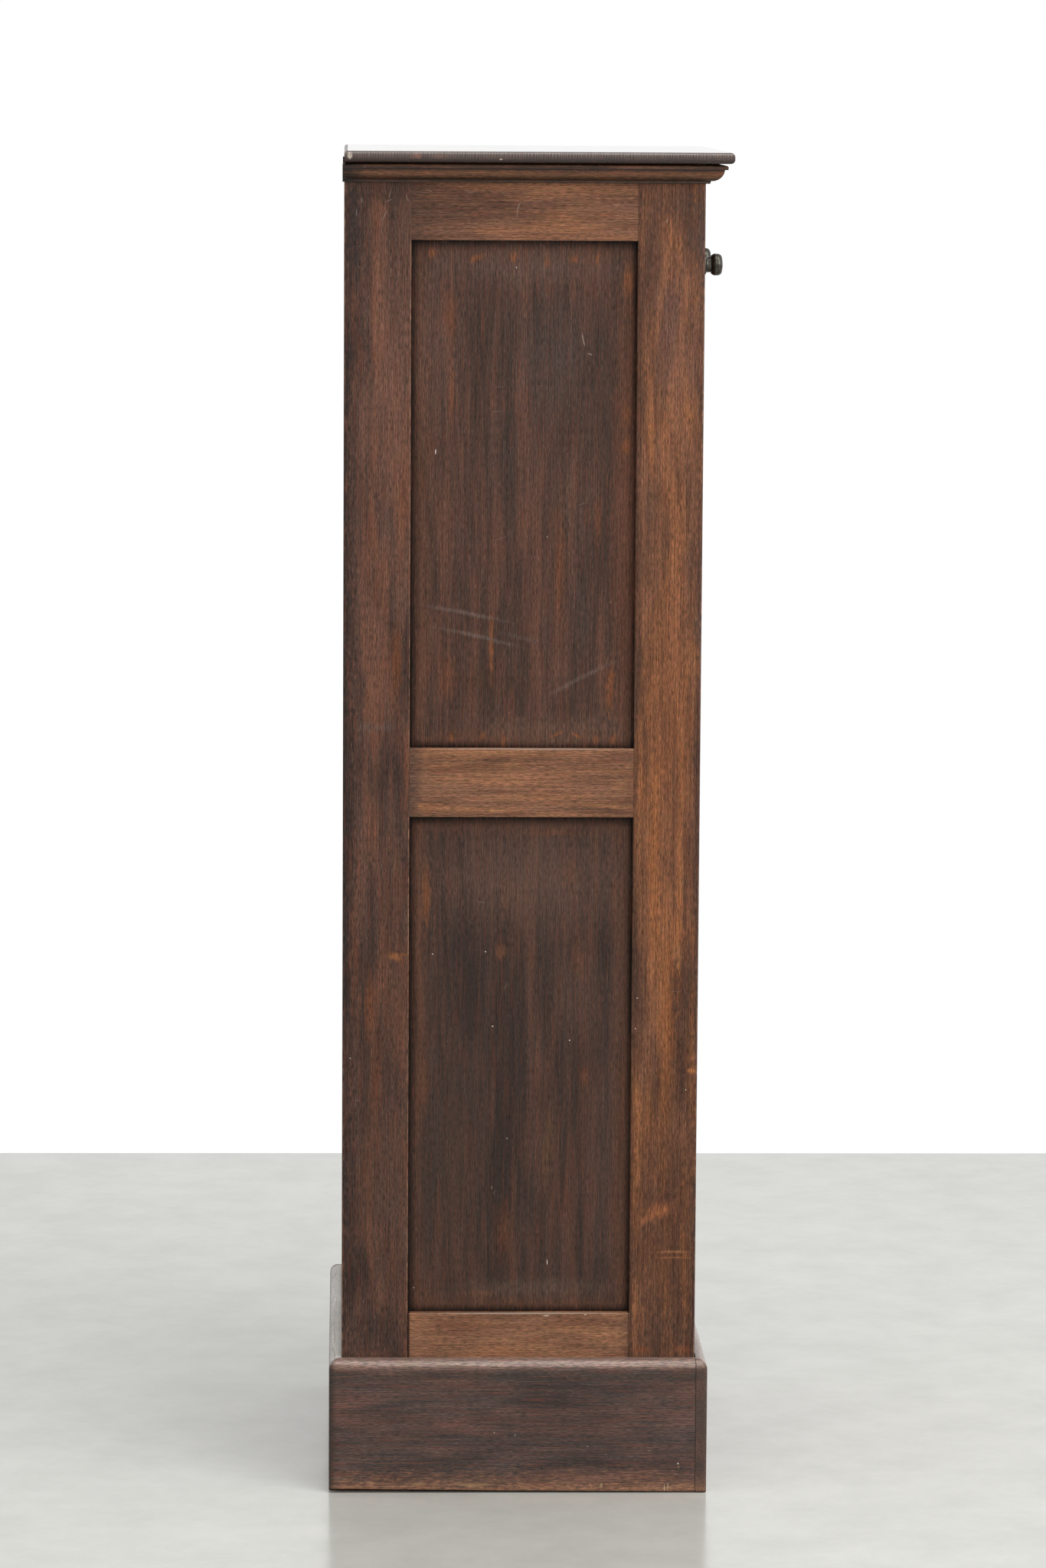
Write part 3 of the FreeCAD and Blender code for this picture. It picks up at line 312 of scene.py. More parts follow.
back_stile_marks = dict(
    patches=[(1000 * back_stile_high.y, 870, 22, 1000, "#2e2826", 0.9),
             (165, 1350, 36, 210, "#715246", 0.6), (172, 470, 46, 340, "#4a3830", 0.55),
             (175, 1556, 46, 24, "#433530", 0.6), (206, 1510, 13, 70, "#37302e", 0.75),
             (183, 924, 30, 8, "#60534c", 0.5), (158, 650, 12, 6, "#97603c", 0.8, 20, 2),
             (148, 652, 9, 2.5, "#8a5836", 0.6), (188, 588, 7, 55, "#70462f", 0.6),
             (180, 500, 9, 70, "#6a4331", 0.5), (158, 1000, 9, 60, "#7c4a2c", 0.55),
             (190, 1290, 18, 60, "#6c4d40", 0.4), (178, 195, 42, 40, "#38302d", 0.7),
             (203, 960, 9, 50, "#3c322f", 0.6), (150, 1190, 8, 90, "#714934", 0.4)],
    scars_and_highlights=[(203, 476, 5, 0.5, "#8c7a5e", 0.5, 8), (211, 527, 0.9, 0.9, nick, 0.7),
           # Long pale lines down the inner arris are wear with a painted highlight, strongest low down
           (134.6, 1200, 1.0, 285, "#8a766d", 0.45), (134.6, 700, 1.0, 110, "#8a766d", 0.5),
           (134.6, 400, 1.1, 175, "#9c8a80", 0.7), (173, 1528, 0.7, 9, "#97857a", 0.6, 25, 1),
           (168, 1545, 6, 0.6, "#97857a", 0.5, -30), (200, 1545, 0.8, 5, "#8f837c", 0.6),
           (167, 1552, 0.7, 6, "#97857a", 0.5, 10), (147, 1548, 0.7, 7, "#97857a", 0.5, -20, 1),
           (206, 1530, 0.8, 6, "#8f837c", 0.5)])
# Painted shade under the cornice, on the tops of the stiles and the top rail
shade_under_cornice = ({"Z": [top_rail_high.z]}, 13, "#33261f", 0.75, 0.9)
for side, board, face in (("left", 10, outer_face), ("right", 20, -outer_face)):
    marks = front_stile_marks if side == "left" else dict(patches=front_stile_marks["patches"][:4])
    oak = stained_oak("front_stile_oak_" + side, "Z", ("#50392e", "#79533f", "#9d6642"), board, face=face,
                      bands=[(at_front_stile, 9, "#45332b", 0.6, 1.2), shade_under_cornice], **marks)
    dress(oak, "front_stile_" + side)
    marks = back_stile_marks if side == "left" else dict(patches=back_stile_marks["patches"][:3])
    oak = stained_oak("back_stile_oak_" + side, "Z", ("#40322d", "#5e463c", "#79513f"), board + 1,
                      face=face, bands=[shade_under_cornice], **marks)
    dress(oak, "back_stile_" + side)

rail_marks = {
    "top": dict(tones=("#5a4034", "#7a5746", "#9a6a4c"),
                bands=[({"Y": opening_y}, 1.0, seam, 0.45, 0.3), (at_back_stile, 36, "#503e35", 0.75, 1.2),
                       shade_under_cornice],
                patches=[(-60, 1535, 50, 14, "#8d6349", 0.5), (100, 1530, 70, 40, "#5f463a", 0.5)],
                scars_and_highlights=[(0, 1000 * top_rail_low.z, 150, 1.2, "#8f7565", 0.5),
                       (17, 1536, 0.8, 12, "#a08878", 0.6, 14, 2), (-100, 1512, 8, 0.5, "#a08878", 0.4),
                       (119, 1556, 4, 0.6, "#a08878", 0.5, 35), (74, 1555, 8, 0.6, "#a08878", 0.45, 25)]),
    "mid": dict(tones=("#5c4235", "#845e49", "#a57350"),
                bands=[({"Y": opening_y}, 1.0, seam, 0.45, 0.3), (at_back_stile, 20, "#5a453a", 0.85, 1.0)],
                patches=[(-20, 860, 70, 24, "#94664d", 0.5), (-125, 860, 20, 40, "#6b4b3b", 0.5)],
                # The pale line along the upper arris is wear with a painted highlight
                scars_and_highlights=[(0, 1000 * mid_rail_high.z, 150, 1.5, "#a39184", 0.75)]),
    "bottom": dict(tones=("#644839", "#8b644d", "#ab7957"),
                   bands=[(at_back_stile, 4.4, seam, 1.0, 0.1), (at_front_stile, 2.6, seam, 0.9, 0.2)],
                   patches=[(-10, 185, 80, 14, "#94694f", 0.5), (-126, 190, 16, 40, "#64493a", 0.6),
                            (85, 200, 55, 16, "#70493a", 0.55), (-70, 206, 60, 10, "#734c3c", 0.5),
                            (30, 172, 45, 8, "#9c6c4c", 0.5)],
                   # The pale line along the upper arris is wear with a painted highlight
                   scars_and_highlights=[(0, 1000 * lower_opening_z[0], 150, 1.5, "#a69586", 0.75),
                          (-25, 214, 5, 1.2, pale_wood, 0.8), (-72, 215, 2, 1.0, pale_wood, 0.8)])}
for side, board, face in (("left", 12, outer_face), ("right", 22, -outer_face)):
    for index, (rail, marks) in enumerate(rail_marks.items()):
        oak = stained_oak("side_%s_rail_oak_%s" % (rail, side), "Y", board=board + index, face=face,
                          **marks)
        dress(oak, "side_%s_rail_%s" % (rail, side))

grey_cloud = "#473e3a"
rust = "#754832"
wiped = "#6f6059"
panel_marks = {
    "upper": dict(
        tones=("#40332d", "#503c34", "#65463a"), figure=0.92,
        patches=[(0, 1472, 150, 34, "#624d44", 0.6), (108, 1390, 36, 130, "#614a41", 0.55),
                 (-25, 1370, 70, 95, grey_cloud, 0.6), (20, 1240, 40, 90, grey_cloud, 0.3),
                 (-114, 1150, 26, 330, "#5e3e31", 0.6), (-50, 1190, 30, 90, "#60483d", 0.5),
                 (60, 975, 75, 26, "#4d372c", 0.4), (-30, 918, 130, 26, "#644c40", 0.6),
                 (96, 1410, 12, 45, rust, 0.5), (93, 1321, 5, 50, rust, 0.55),
                 (117, 1484, 6, 8, thin_stain, 0.6), (65, 1478, 12, 6, thin_stain, 0.6, -20),
                 (21, 1480, 5, 9, thin_stain, 0.6), (-18, 1474, 5, 9, thin_stain, 0.5),
                 (-50, 1477, 7, 6, thin_stain, 0.55), (-77, 1477, 4, 9, thin_stain, 0.55),
                 (-114, 1452, 8, 26, thin_stain, 0.6), (-114, 1295, 8, 20, rust, 0.55),
                 (-113, 1258, 8, 14, thin_stain, 0.5), (-35, 1110, 8, 95, rust, 0.5),
                 (-80, 1170, 6, 40, rust, 0.5), (97, 985, 15, 40, rust, 0.4),
                 (45, 1022, 4, 48, thin_stain, 0.65), (-96, 970, 7, 42, thin_stain, 0.55, 2),
                 (92, 912, 4, 8, thin_stain, 0.6), (55, 913, 5, 7, thin_stain, 0.5),
                 (30, 907, 3, 11, thin_stain, 0.6), (-33, 915, 12, 2.5, thin_stain, 0.65, -25),
                 (-56, 914, 10, 2.5, thin_stain, 0.65, 30), (-80, 909, 4, 8, thin_stain, 0.5),
                 (-100, 909, 5, 8, thin_stain, 0.5, 20), (74, 1059, 60, 3.5, wiped, 0.55, 11, 1.5),
                 (62, 1032, 60, 3.5, wiped, 0.55, 13, 1.5), (-64, 984, 62, 4, wiped, 0.4, -27, 2),
                 (10, 1030, 30, 4, "#5a504c", 0.4, 14), (-60, 1060, 22, 70, "#453c38", 0.4)],
        scars_and_highlights=[(-61, 1383, 0.8, 10, "#a59284", 0.65, -12, 1), (-69, 1366, 4, 0.8, "#a59284", 0.6, 20),
               (112, 1250, 0.8, 4, nick, 0.9), (37, 1327, 7, 0.6, wiped, 0.6),
               (40, 1298, 8, 0.6, wiped, 0.6), (-61, 1189, 10, 0.6, wiped, 0.6, -18),
               (35, 1148, 14, 0.6, wiped, 0.6, -18), (110, 1123, 6, 0.6, wiped, 0.5, -18),
               (-20, 1150, 0.8, 0.8, nick, 0.5), (-96, 1073, 0.8, 2, "#96755f", 0.6, 20),
               (18, 1467, 1.0, 1.2, nick, 0.7), (130, 1459, 0.9, 2, wiped, 0.7)]),
    "lower": dict(
        tones=("#382e2a", "#4a3a34", "#604337"), figure=0.75,
        patches=[(121, 724, 7, 48, thin_stain, 0.6), (26, 728, 12, 42, rust, 0.4),
                 (-50, 745, 14, 38, rust, 0.4, -8), (-62, 640, 12, 26, rust, 0.4),
                 (-28, 797, 45, 5, rust, 0.5), (-69, 504, 5, 14, rust, 0.5),
                 (122, 490, 9, 40, rust, 0.4), (70, 400, 6, 65, rust, 0.35),
                 (-26, 420, 9, 70, "#6e4f38", 0.4, 4), (26, 315, 13, 45, rust, 0.4),
                 (55, 239, 28, 5, "#76503c", 0.6), (-55, 240, 20, 4, "#6b4a3a", 0.4),
                 (31, 654, 9, 14, "#775038", 0.5), (0, 745, 150, 80, "#604a40", 0.7),
                 (95, 380, 70, 190, "#3d342f", 0.6), (-62, 600, 45, 75, "#5b463c", 0.55),
                 (-20, 246, 125, 15, "#5c4a40", 0.6), (-122, 400, 14, 190, "#503b31", 0.5),
                 (-90, 400, 22, 90, grey_cloud, 0.3)],
        scars_and_highlights=[(113, 651, 1.0, 1.0, nick, 0.95), (50, 654, 1.0, 1.0, nick, 0.7),
               (41, 564, 1.2, 1.0, nick, 0.95), (-51, 547, 1.1, 1.0, nick, 0.95),
               (23, 428, 1.0, 0.8, nick, 0.6), (-26, 277, 0.6, 4, nick, 0.8),
               (41, 368, 0.6, 3.5, "#a59284", 0.7), (38, 362, 0.6, 3.5, wiped, 0.7, 25),
               (56, 714, 9, 0.6, wiped, 0.6, 12), (26, 612, 0.7, 6, wiped, 0.6, 30),
               (134, 246, 0.8, 1.0, nick, 0.6), (27, 742, 0.9, 2.5, wiped, 0.7)])}
for side, board, face in (("left", 15, panel_face), ("right", 25, -panel_face)):
    for index, (panel, heights) in enumerate((("lower", lower_opening_z), ("upper", upper_opening_z))):
        marks = panel_marks[panel]
        if side == "right":
            marks = dict(marks, patches=marks["patches"][:8], scars_and_highlights=marks["scars_and_highlights"][5:9])
        rim = {"Y": opening_y, "Z": heights}
        # Painted shade in the recess round each panel, deepest under the rail above and beside the front
        # stile, with a near-black painted line at the rim; a warm rubbed band lies inside it
        borders = [(rim, 32, "#6a4837", 0.5, 1.6), (at_front_stile, 9, recess_shade, 0.75, 0.7),
                   (at_back_stile, 13, recess_shade, 0.85, 0.8), ({"Z": heights[:1]}, 11, recess_shade, 0.8, 0.8),
                   ({"Z": heights[1:]}, 16, recess_shade, 0.9, 0.9), (rim, 4, "#120e0c", 0.8, 0.3)]
        oak = stained_oak("side_%s_panel_oak_%s" % (panel, side), "Z",
                          board=board + index, face=face, bands=borders, cloudy=32, drawn=8, **marks)
        dress(oak, "side_%s_panel_%s" % (panel, side))


# Framed back: three rails between the back stiles round two flat panels, stained like the sides but never
# waxed, since nobody was to see it.

back_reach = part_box("back_stile_right")[0].x
at_both_sides = [-back_reach, back_reach]
back_seam = ({"X": at_both_sides}, 1.4, seam, 0.8, 0.3)
unwaxed = 0.6
for index, rail in enumerate(("top", "mid", "bottom")):
    oak = stained_oak("back_%s_rail_oak" % rail, "X", ("#4a382f", "#5d4537", "#70503d"), 30 + index,
                      polish=unwaxed, bands=[back_seam])
    dress(oak, "back_%s_rail" % rail)
for index, (panel, heights) in enumerate((("lower", lower_opening_z), ("upper", upper_opening_z))):
    # Painted shade in the recess round each back panel
    oak = stained_oak("back_%s_panel_oak" % panel, "Z", ("#3f322b", "#4f3c32", "#5f4538"), 34 + index,
                      polish=unwaxed, bands=[({"X": at_both_sides, "Z": heights}, 14, recess_shade, 0.8, 1.0)])
    dress(oak, "back_%s_panel" % panel)


# Front rails: a deep head rail over the roll front and a bottom rail it drops behind, both tenoned into the
# front stiles. The steel strike for the lock's bolt is let into the head rail and screwed up.

for index, rail in enumerate(("head_rail", "front_bottom_rail")):
    oak = stained_oak(rail + "_oak", "X", ("#543c30", "#6d4b39", "#875a3e"), 40 + index, bands=[back_seam])
    dress(oak, rail)


def worn_metal(name, base, tarnish, roughness, grit, pitting=0.12):
    """Old cast or rolled metal gone dull in the air: dark bloom in blotches as wide as the grit, in mm, and
    finer pits, so that it glints unevenly."""
    material = bpy.data.materials.new(name)
    material.use_nodes = True
    tree = material.node_tree
    point = add(tree, "ShaderNodeTexCoord")["Object"]
    bloom = add(tree, "ShaderNodeTexNoise", {"Vector": point, "Scale": 1000 / grit, "Detail": 4,
                                             "Roughness": 0.65})["Fac"]
    share = add(tree, "ShaderNodeMapRange", {0: bloom, 1: 0.38, 2: 0.62})[0]
    colour = add(tree, "ShaderNodeMix", {0: share, 6: linear(base), 7: linear(tarnish)},
                 data_type="RGBA")[2]
    dulled = add(tree, "ShaderNodeMapRange", {0: bloom, 1: 0.3, 2: 0.7, 3: roughness - 0.08,
                                              4: roughness + 0.12})[0]
    pits = add(tree, "ShaderNodeTexNoise", {"Vector": point, "Scale": 4000 / grit, "Detail": 2})["Fac"]
    surface = add(tree, "ShaderNodeBump", {"Strength": pitting, "Distance": 0.0003, "Height": pits})[0]
    shader = tree.nodes["Principled BSDF"]
    tree.links.new(colour, shader.inputs["Base Color"])
    tree.links.new(dulled, shader.inputs["Roughness"])
    tree.links.new(surface, shader.inputs["Normal"])
    shader.inputs["Metallic"].default_value = 1.0
    return material


steel = worn_metal("greyed_steel", "#8b8781", "#5b554d", 0.4, 6)
dress(steel, "strike_plate", "strike_screws")


# Boards inside: floor, dust board, false back and four shelves, of plain oak that was only oiled, so it has
# stayed pale in the dark of the cabinet. Each shelf lies on two cleats, held by raised slotted screws.

inside = dict(tones=("#7d5c3c", "#99764f", "#ab8960"), polish=0.5, worn="#b3946d", figure=0.6)
shelves = ["shelf_1", "shelf_2", "shelf_3", "shelf_4"]
for index, node in enumerate(["carcass_floor", "dust_board"] + shelves):
    dress(stained_oak(node + "_oak", "X", board=50 + index, **inside), node)
dress(stained_oak("false_back_oak", "Z", board=57, **inside), "false_back")
dress(stained_oak("cleat_oak", "Y", board=58, **inside), "shelf_cleats_left", "shelf_cleats_right")


def screw_tree(name, material):
    """Raised slotted screw heads on a grid in the XY plane, facing +Z, each turned as it came tight."""
    tree = bpy.data.node_groups.new(name, "GeometryNodeTree")
    tree.interface.new_socket("Geometry", in_out="OUTPUT", socket_type="NodeSocketGeometry")
    for size in ("Head radius", "Head rise", "Slot width", "Across", "Up"):
        tree.interface.new_socket(size, in_out="INPUT", socket_type="NodeSocketFloat")
    for count in ("Columns", "Rows"):
        tree.interface.new_socket(count, in_out="INPUT", socket_type="NodeSocketInt")
    size = add(tree, "NodeGroupInput")
    ball = add(tree, "GeometryNodeMeshUVSphere", {"Segments": 24, "Rings": 12,
                                                  "Radius": size["Head radius"]})[0]
    flat = add(tree, "ShaderNodeMath", {0: size["Head rise"], 1: size["Head radius"]},
               operation="DIVIDE")[0]
    shape = add(tree, "ShaderNodeCombineXYZ", {0: 1.0, 1: 1.0, 2: flat})[0]
    head = add(tree, "GeometryNodeTransform", {"Geometry": ball, "Scale": shape})[0]
    long = add(tree, "ShaderNodeMath", {0: size["Head radius"], 1: 3.0}, operation="MULTIPLY")[0]
    block = add(tree, "ShaderNodeCombineXYZ", {0: long, 1: size["Slot width"], 2: size["Head rise"]})[0]
    cutter = add(tree, "GeometryNodeMeshCube", {"Size": block})[0]
    above = add(tree, "ShaderNodeCombineXYZ", {2: size["Head rise"]})[0]
    cutter = add(tree, "GeometryNodeTransform", {"Geometry": cutter, "Translation": above})[0]
    head = add(tree, "GeometryNodeMeshBoolean", {"Mesh 1": head, "Mesh 2": cutter}, operation="DIFFERENCE",
               solver="EXACT")[0]
    places = add(tree, "GeometryNodeMeshGrid", {"Size X": size["Across"], "Vertices X": size["Columns"],
                                                "Size Y": size["Up"], "Vertices Y": size["Rows"]})[0]
    turn = add(tree, "FunctionNodeRandomValue", {"Min": (0, 0, 0), "Max": (0, 0, pi), "Seed": 7},
               data_type="FLOAT_VECTOR")[0]
    heads = add(tree, "GeometryNodeInstanceOnPoints", {"Points": places, "Instance": head,
                                                       "Rotation": turn})[0]
    heads = add(tree, "GeometryNodeRealizeInstances", {0: heads})[0]
    heads = add(tree, "GeometryNodeSetMaterial", {"Geometry": heads, "Material": material})[0]
    add(tree, "NodeGroupOutput", {0: heads})
    return tree


def realized(name, tree, values, place):
    """The plain mesh that a geometry tree makes with these values, as a new object put at a place."""
    scene = bpy.context.scene
    maker = bpy.data.objects.new(name + "_maker", bpy.data.meshes.new(name + "_seed"))
    scene.collection.objects.link(maker)
    modifier = maker.modifiers.new("shape", "NODES")
    modifier.node_group = tree
    for socket in tree.interface.items_tree:
        if socket.in_out == "INPUT":
            modifier[socket.identifier] = values[socket.name]
    made = maker.evaluated_get(bpy.context.evaluated_depsgraph_get())
    mesh = bpy.data.meshes.new_from_object(made)
    mesh.transform(place)
    bpy.data.objects.remove(maker)
    piece = bpy.data.objects.new(name, mesh)
    scene.collection.objects.link(piece)
    return piece


def facing(x_axis, y_axis, place):
    """Puts the local XY plane on a face: where its X and Y point, and its middle."""
    x_axis, y_axis = Vector(x_axis), Vector(y_axis)
    turn = Matrix((x_axis, y_axis, x_axis.cross(y_axis))).transposed().to_4x4()
    return Matrix.Translation(place) @ turn


shelf_boxes = [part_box(shelf) for shelf in shelves]
cleat_drop = 0.010
screw_rows = [low.z - cleat_drop for low, _ in shelf_boxes]
screw_inset = 0.045
shelf_low, shelf_high = shelf_boxes[0]
cleat_screws = {"Head radius": 0.0042, "Head rise": 0.0009, "Slot width": 0.0010,
                "Columns": 2, "Across": shelf_high.y - shelf_low.y - 2 * screw_inset,
                "Rows": len(shelves), "Up": screw_rows[-1] - screw_rows[0]}
screw_middle_y = (shelf_low.y + shelf_high.y) / 2
screw_middle_z = (screw_rows[0] + screw_rows[-1]) / 2
cleat_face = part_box("shelf_cleats_right")[0].x
steel_screws = screw_tree("steel_screws", steel)
for side, out in (("left", 1), ("right", -1)):
    place = facing((0, out, 0), (0, 0, 1), (-out * cleat_face, screw_middle_y, screw_middle_z))
    screws = realized("cleat_screws_" + side, steel_screws, cleat_screws, place)
    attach(screws, "carcass")


# Cornice and top: an ovolo moulding mitred round the front and sides, under a polished top board whose
# rounded ends show the ribs of sawn end grain. Painted shade lies under the ovolo and a painted highlight
# along it, and the back corner is bruised.

cornice_low, cornice_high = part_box("cornice_left")
top_low, top_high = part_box("top_board")
fillet = 0.0049
ovolo_half = 0.005
ovolo_middle = cornice_high.z - fillet - ovolo_half
ovolo_foot = ovolo_middle - 2 * ovolo_half
lower_arris = cornice_low.z + 0.0015
cornice = dict(tones=("#33241c", "#453125", "#664432"), worn="#63452f", gloss=0.25)
for side, board, face in (("left", 60, cornice_low.x), ("right", 61, -cornice_low.x)):
    oak = stained_oak("cornice_oak_" + side, "Y", board=board, face=face,
                      # Painted highlight along the middle of the ovolo, painted shade along its foot and in
                      # the crease under the fillet
                      bands=[({"Z": [ovolo_middle]}, 5, "#80553c", 0.6, 1.5),
                             ({"Z": [ovolo_foot]}, 8, "#1f1712", 0.85, 0.6),
                             ({"Z": [cornice_high.z - fillet]}, 1.4, "#1d1510", 0.8, 0.3),
                             ({"Z": [lower_arris]}, 1.2, "#6d5543", 0.5, 0.8),
                             ({"Y": [cornice_high.y]}, 34, "#1f1a17", 0.92, 1.0)], **cornice)
    dress(oak, "cornice_" + side)
oak = stained_oak("cornice_front_oak", "X", board=62,
                  # Painted highlight along the middle of the ovolo and painted shade along its foot
                  bands=[({"Z": [ovolo_middle]}, 6, "#85573c", 0.6, 1.2),
                         ({"Z": [ovolo_foot]}, 6, "#211813", 0.8, 0.6)], **cornice)
dress(oak, "cornice_front")

top_mm = 1000 * top_high.z
# The top board's edge is darkened along its lower round with painted shade
oak = stained_oak("top_oak", "X", ("#2c2321", "#382d2a", "#4a3932"), 63, polish=0.28, gloss=0.45,
                  worn="#43362f", face=top_low.x, bands=[({"Z": [top_low.z]}, 8, "#2a2220", 0.85, 0.5)],
                  patches=[(136, top_mm - 5, 7, 5, "#8a5240", 0.8),
                           (110, top_mm - 6, 14, 3, "#6d4a38", 0.6)],
                  scars_and_highlights=[(214, top_mm - 5, 4, 6, "#cfc0ae", 0.85),
                         (38, top_mm - 9, 2.5, 1.0, "#cbb9a8", 0.8)])
tree = oak.node_tree
shader = tree.nodes["Principled BSDF"]
place = add(tree, "ShaderNodeTexCoord")
# Ribs left by the saw in the end grain, a little slanted, tinted pale as a painted highlight towards the
# upper round
wave_at_scale_1 = 2 * pi / 20
rib_pitch = 0.0028
rib_slant = radians(-24)
ribs_start, ribs_full = top_high.z - 0.0095, top_high.z - 0.0025
rib_and_highlight_tint = "#685b55"
slanted = add(tree, "ShaderNodeMapping", {"Vector": place["Object"], "Rotation": (rib_slant, 0, 0),
                                          "Scale": (0.2, 1.0, 0.12)})[0]
ribs = add(tree, "ShaderNodeTexWave", {"Vector": slanted, "Scale": wave_at_scale_1 / rib_pitch,
                                       "Distortion": 7.0, "Detail": 3},
           wave_type="BANDS", bands_direction="Y")["Fac"]
ribs = add(tree, "ShaderNodeMapRange", {0: ribs, 1: 0.3, 2: 0.9, 3: 0.15, 4: 1.0})[0]
normal = add(tree, "ShaderNodeSeparateXYZ", {0: place["Normal"]})
height = add(tree, "ShaderNodeSeparateXYZ", {0: place["Object"]})["Z"]
highlit_upper_part = add(tree, "ShaderNodeMapRange", {0: height, 1: ribs_start, 2: ribs_full},
             interpolation_type="SMOOTHSTEP")[0]
ending = add(tree, "ShaderNodeMapRange", {0: normal["Z"], 1: 0.95, 2: 0.5},
             interpolation_type="SMOOTHSTEP")[0]
sideways = add(tree, "ShaderNodeMath", {0: normal["X"]}, operation="ABSOLUTE")[0]
on_ends = add(tree, "ShaderNodeMapRange", {0: sideways, 1: 0.1, 2: 0.25})[0]
share = ribs
for limit in (highlit_upper_part, ending, on_ends):
    share = add(tree, "ShaderNodeMath", {0: share, 1: limit}, operation="MULTIPLY")[0]
plain = shader.inputs["Base Color"].links[0].from_socket
colour = add(tree, "ShaderNodeMix", {0: share, 6: plain, 7: linear(rib_and_highlight_tint)}, data_type="RGBA")[2]
tree.links.new(colour, shader.inputs["Base Color"])
# The flat of the top was filled and polished until it mirrors what is behind it
flat = add(tree, "ShaderNodeMapRange", {0: normal["Z"], 1: 0.99, 2: 0.999, 3: 1.3, 4: 0.12})[0]
satin = shader.inputs["Roughness"].links[0].from_socket
satin = add(tree, "ShaderNodeMath", {0: satin, 1: flat}, operation="MULTIPLY")[0]
tree.links.new(satin, shader.inputs["Roughness"])
tree.links.remove(shader.inputs["Normal"].links[0])
dress(oak, "top_board")


# Tambour: narrow oak slats with rounded faces, glued side by side on canvas. Their end tongues run in a
# groove down the front, under the floor and up the back.

slats_low, slats_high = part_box("tambour_slats")
slat_count = 54
slat_gap = 0.0008
slat_tongue = 0.010
slat_tongue_thickness = 0.0055
slat_face_round = 0.003
slat_pitch = (slats_high.z - slats_low.z + slat_gap) / slat_count
slat_tones = ("#4f392d", "#684835", "#82563b")
oak = stained_oak("slat_oak", "X", slat_tones, 70, worn="#7c5943", figure=1.0,
                  strips=(slats_low.z - slat_gap / 2, slat_pitch))

tree = bpy.data.node_groups.new("slats", "GeometryNodeTree")
tree.interface.new_socket("Geometry", in_out="OUTPUT", socket_type="NodeSocketGeometry")
slat_sizes = {"Length": slats_high.x - slats_low.x - 2 * slat_tongue, "Height": slat_pitch - slat_gap,
              "Thickness": slats_high.y - slats_low.y, "Face round": slat_face_round, "Pitch": slat_pitch,
              "Tongue": slat_tongue, "Tongue thickness": slat_tongue_thickness}
for size in slat_sizes:
    tree.interface.new_socket(size, in_out="INPUT", socket_type="NodeSocketFloat")
tree.interface.new_socket("Count", in_out="INPUT", socket_type="NodeSocketInt")
size = add(tree, "NodeGroupInput")
section = add(tree, "GeometryNodeCurvePrimitiveQuadrilateral", {"Width": size["Thickness"],
                                                                "Height": size["Height"]})[0]
corner = add(tree, "ShaderNodeSeparateXYZ", {0: add(tree, "GeometryNodeInputPosition")[0]})
at_face = add(tree, "ShaderNodeMath", {0: corner["X"], 1: 0.0}, operation="LESS_THAN")[0]
rounding = add(tree, "ShaderNodeMath", {0: at_face, 1: size["Face round"]}, operation="MULTIPLY")[0]
section = add(tree, "GeometryNodeFilletCurve", {"Curve": section, "Radius": rounding, "Count": 5},
              mode="POLY")[0]
half = add(tree, "ShaderNodeMath", {0: size["Length"], 1: 0.5}, operation="MULTIPLY")[0]
back = add(tree, "ShaderNodeMath", {0: half, 1: -1.0}, operation="MULTIPLY")[0]
start = add(tree, "ShaderNodeCombineXYZ", {0: back})[0]
end = add(tree, "ShaderNodeCombineXYZ", {0: half})[0]
run = add(tree, "GeometryNodeCurvePrimitiveLine", {"Start": start, "End": end})[0]
slat = add(tree, "GeometryNodeCurveToMesh", {"Curve": run, "Profile Curve": section, "Fill Caps": True})[0]
reach = add(tree, "ShaderNodeMath", {0: size["Tongue"], 1: 2.0, 2: size["Length"]},
            operation="MULTIPLY_ADD")[0]
block = add(tree, "ShaderNodeCombineXYZ", {0: reach, 1: size["Tongue thickness"], 2: size["Height"]})[0]
tongue = add(tree, "GeometryNodeMeshCube", {"Size": block})[0]
slat_join = add(tree, "GeometryNodeJoinGeometry", {0: slat})[0]
tree.links.new(tongue, slat_join.node.inputs[0])
step = add(tree, "ShaderNodeCombineXYZ", {2: size["Pitch"]})[0]
stack = add(tree, "GeometryNodeMeshLine", {"Count": size["Count"], "Offset": step})[0]
curtain = add(tree, "GeometryNodeInstanceOnPoints", {"Points": stack, "Instance": slat_join})[0]
curtain = add(tree, "GeometryNodeRealizeInstances", {0: curtain})[0]
curtain = add(tree, "GeometryNodeSetMaterial", {"Geometry": curtain, "Material": oak})[0]
add(tree, "NodeGroupOutput", {0: curtain})

slat_middle = (0, (slats_low.y + slats_high.y) / 2, slats_low.z + slat_sizes["Height"] / 2)
curtain_slats = realized("curtain_slats", tree, dict(slat_sizes, Count=slat_count),
                         Matrix.Translation(slat_middle))
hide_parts("tambour_slats")
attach(curtain_slats, "carcass")
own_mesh(curtain_slats)


# Canvas: stout unbleached linen glued across the backs of the slats, on which a real curtain bends at every
# joint; here it is one stiff sheet. It lies flat on the wood and swells a little over each gap between two
# slats.

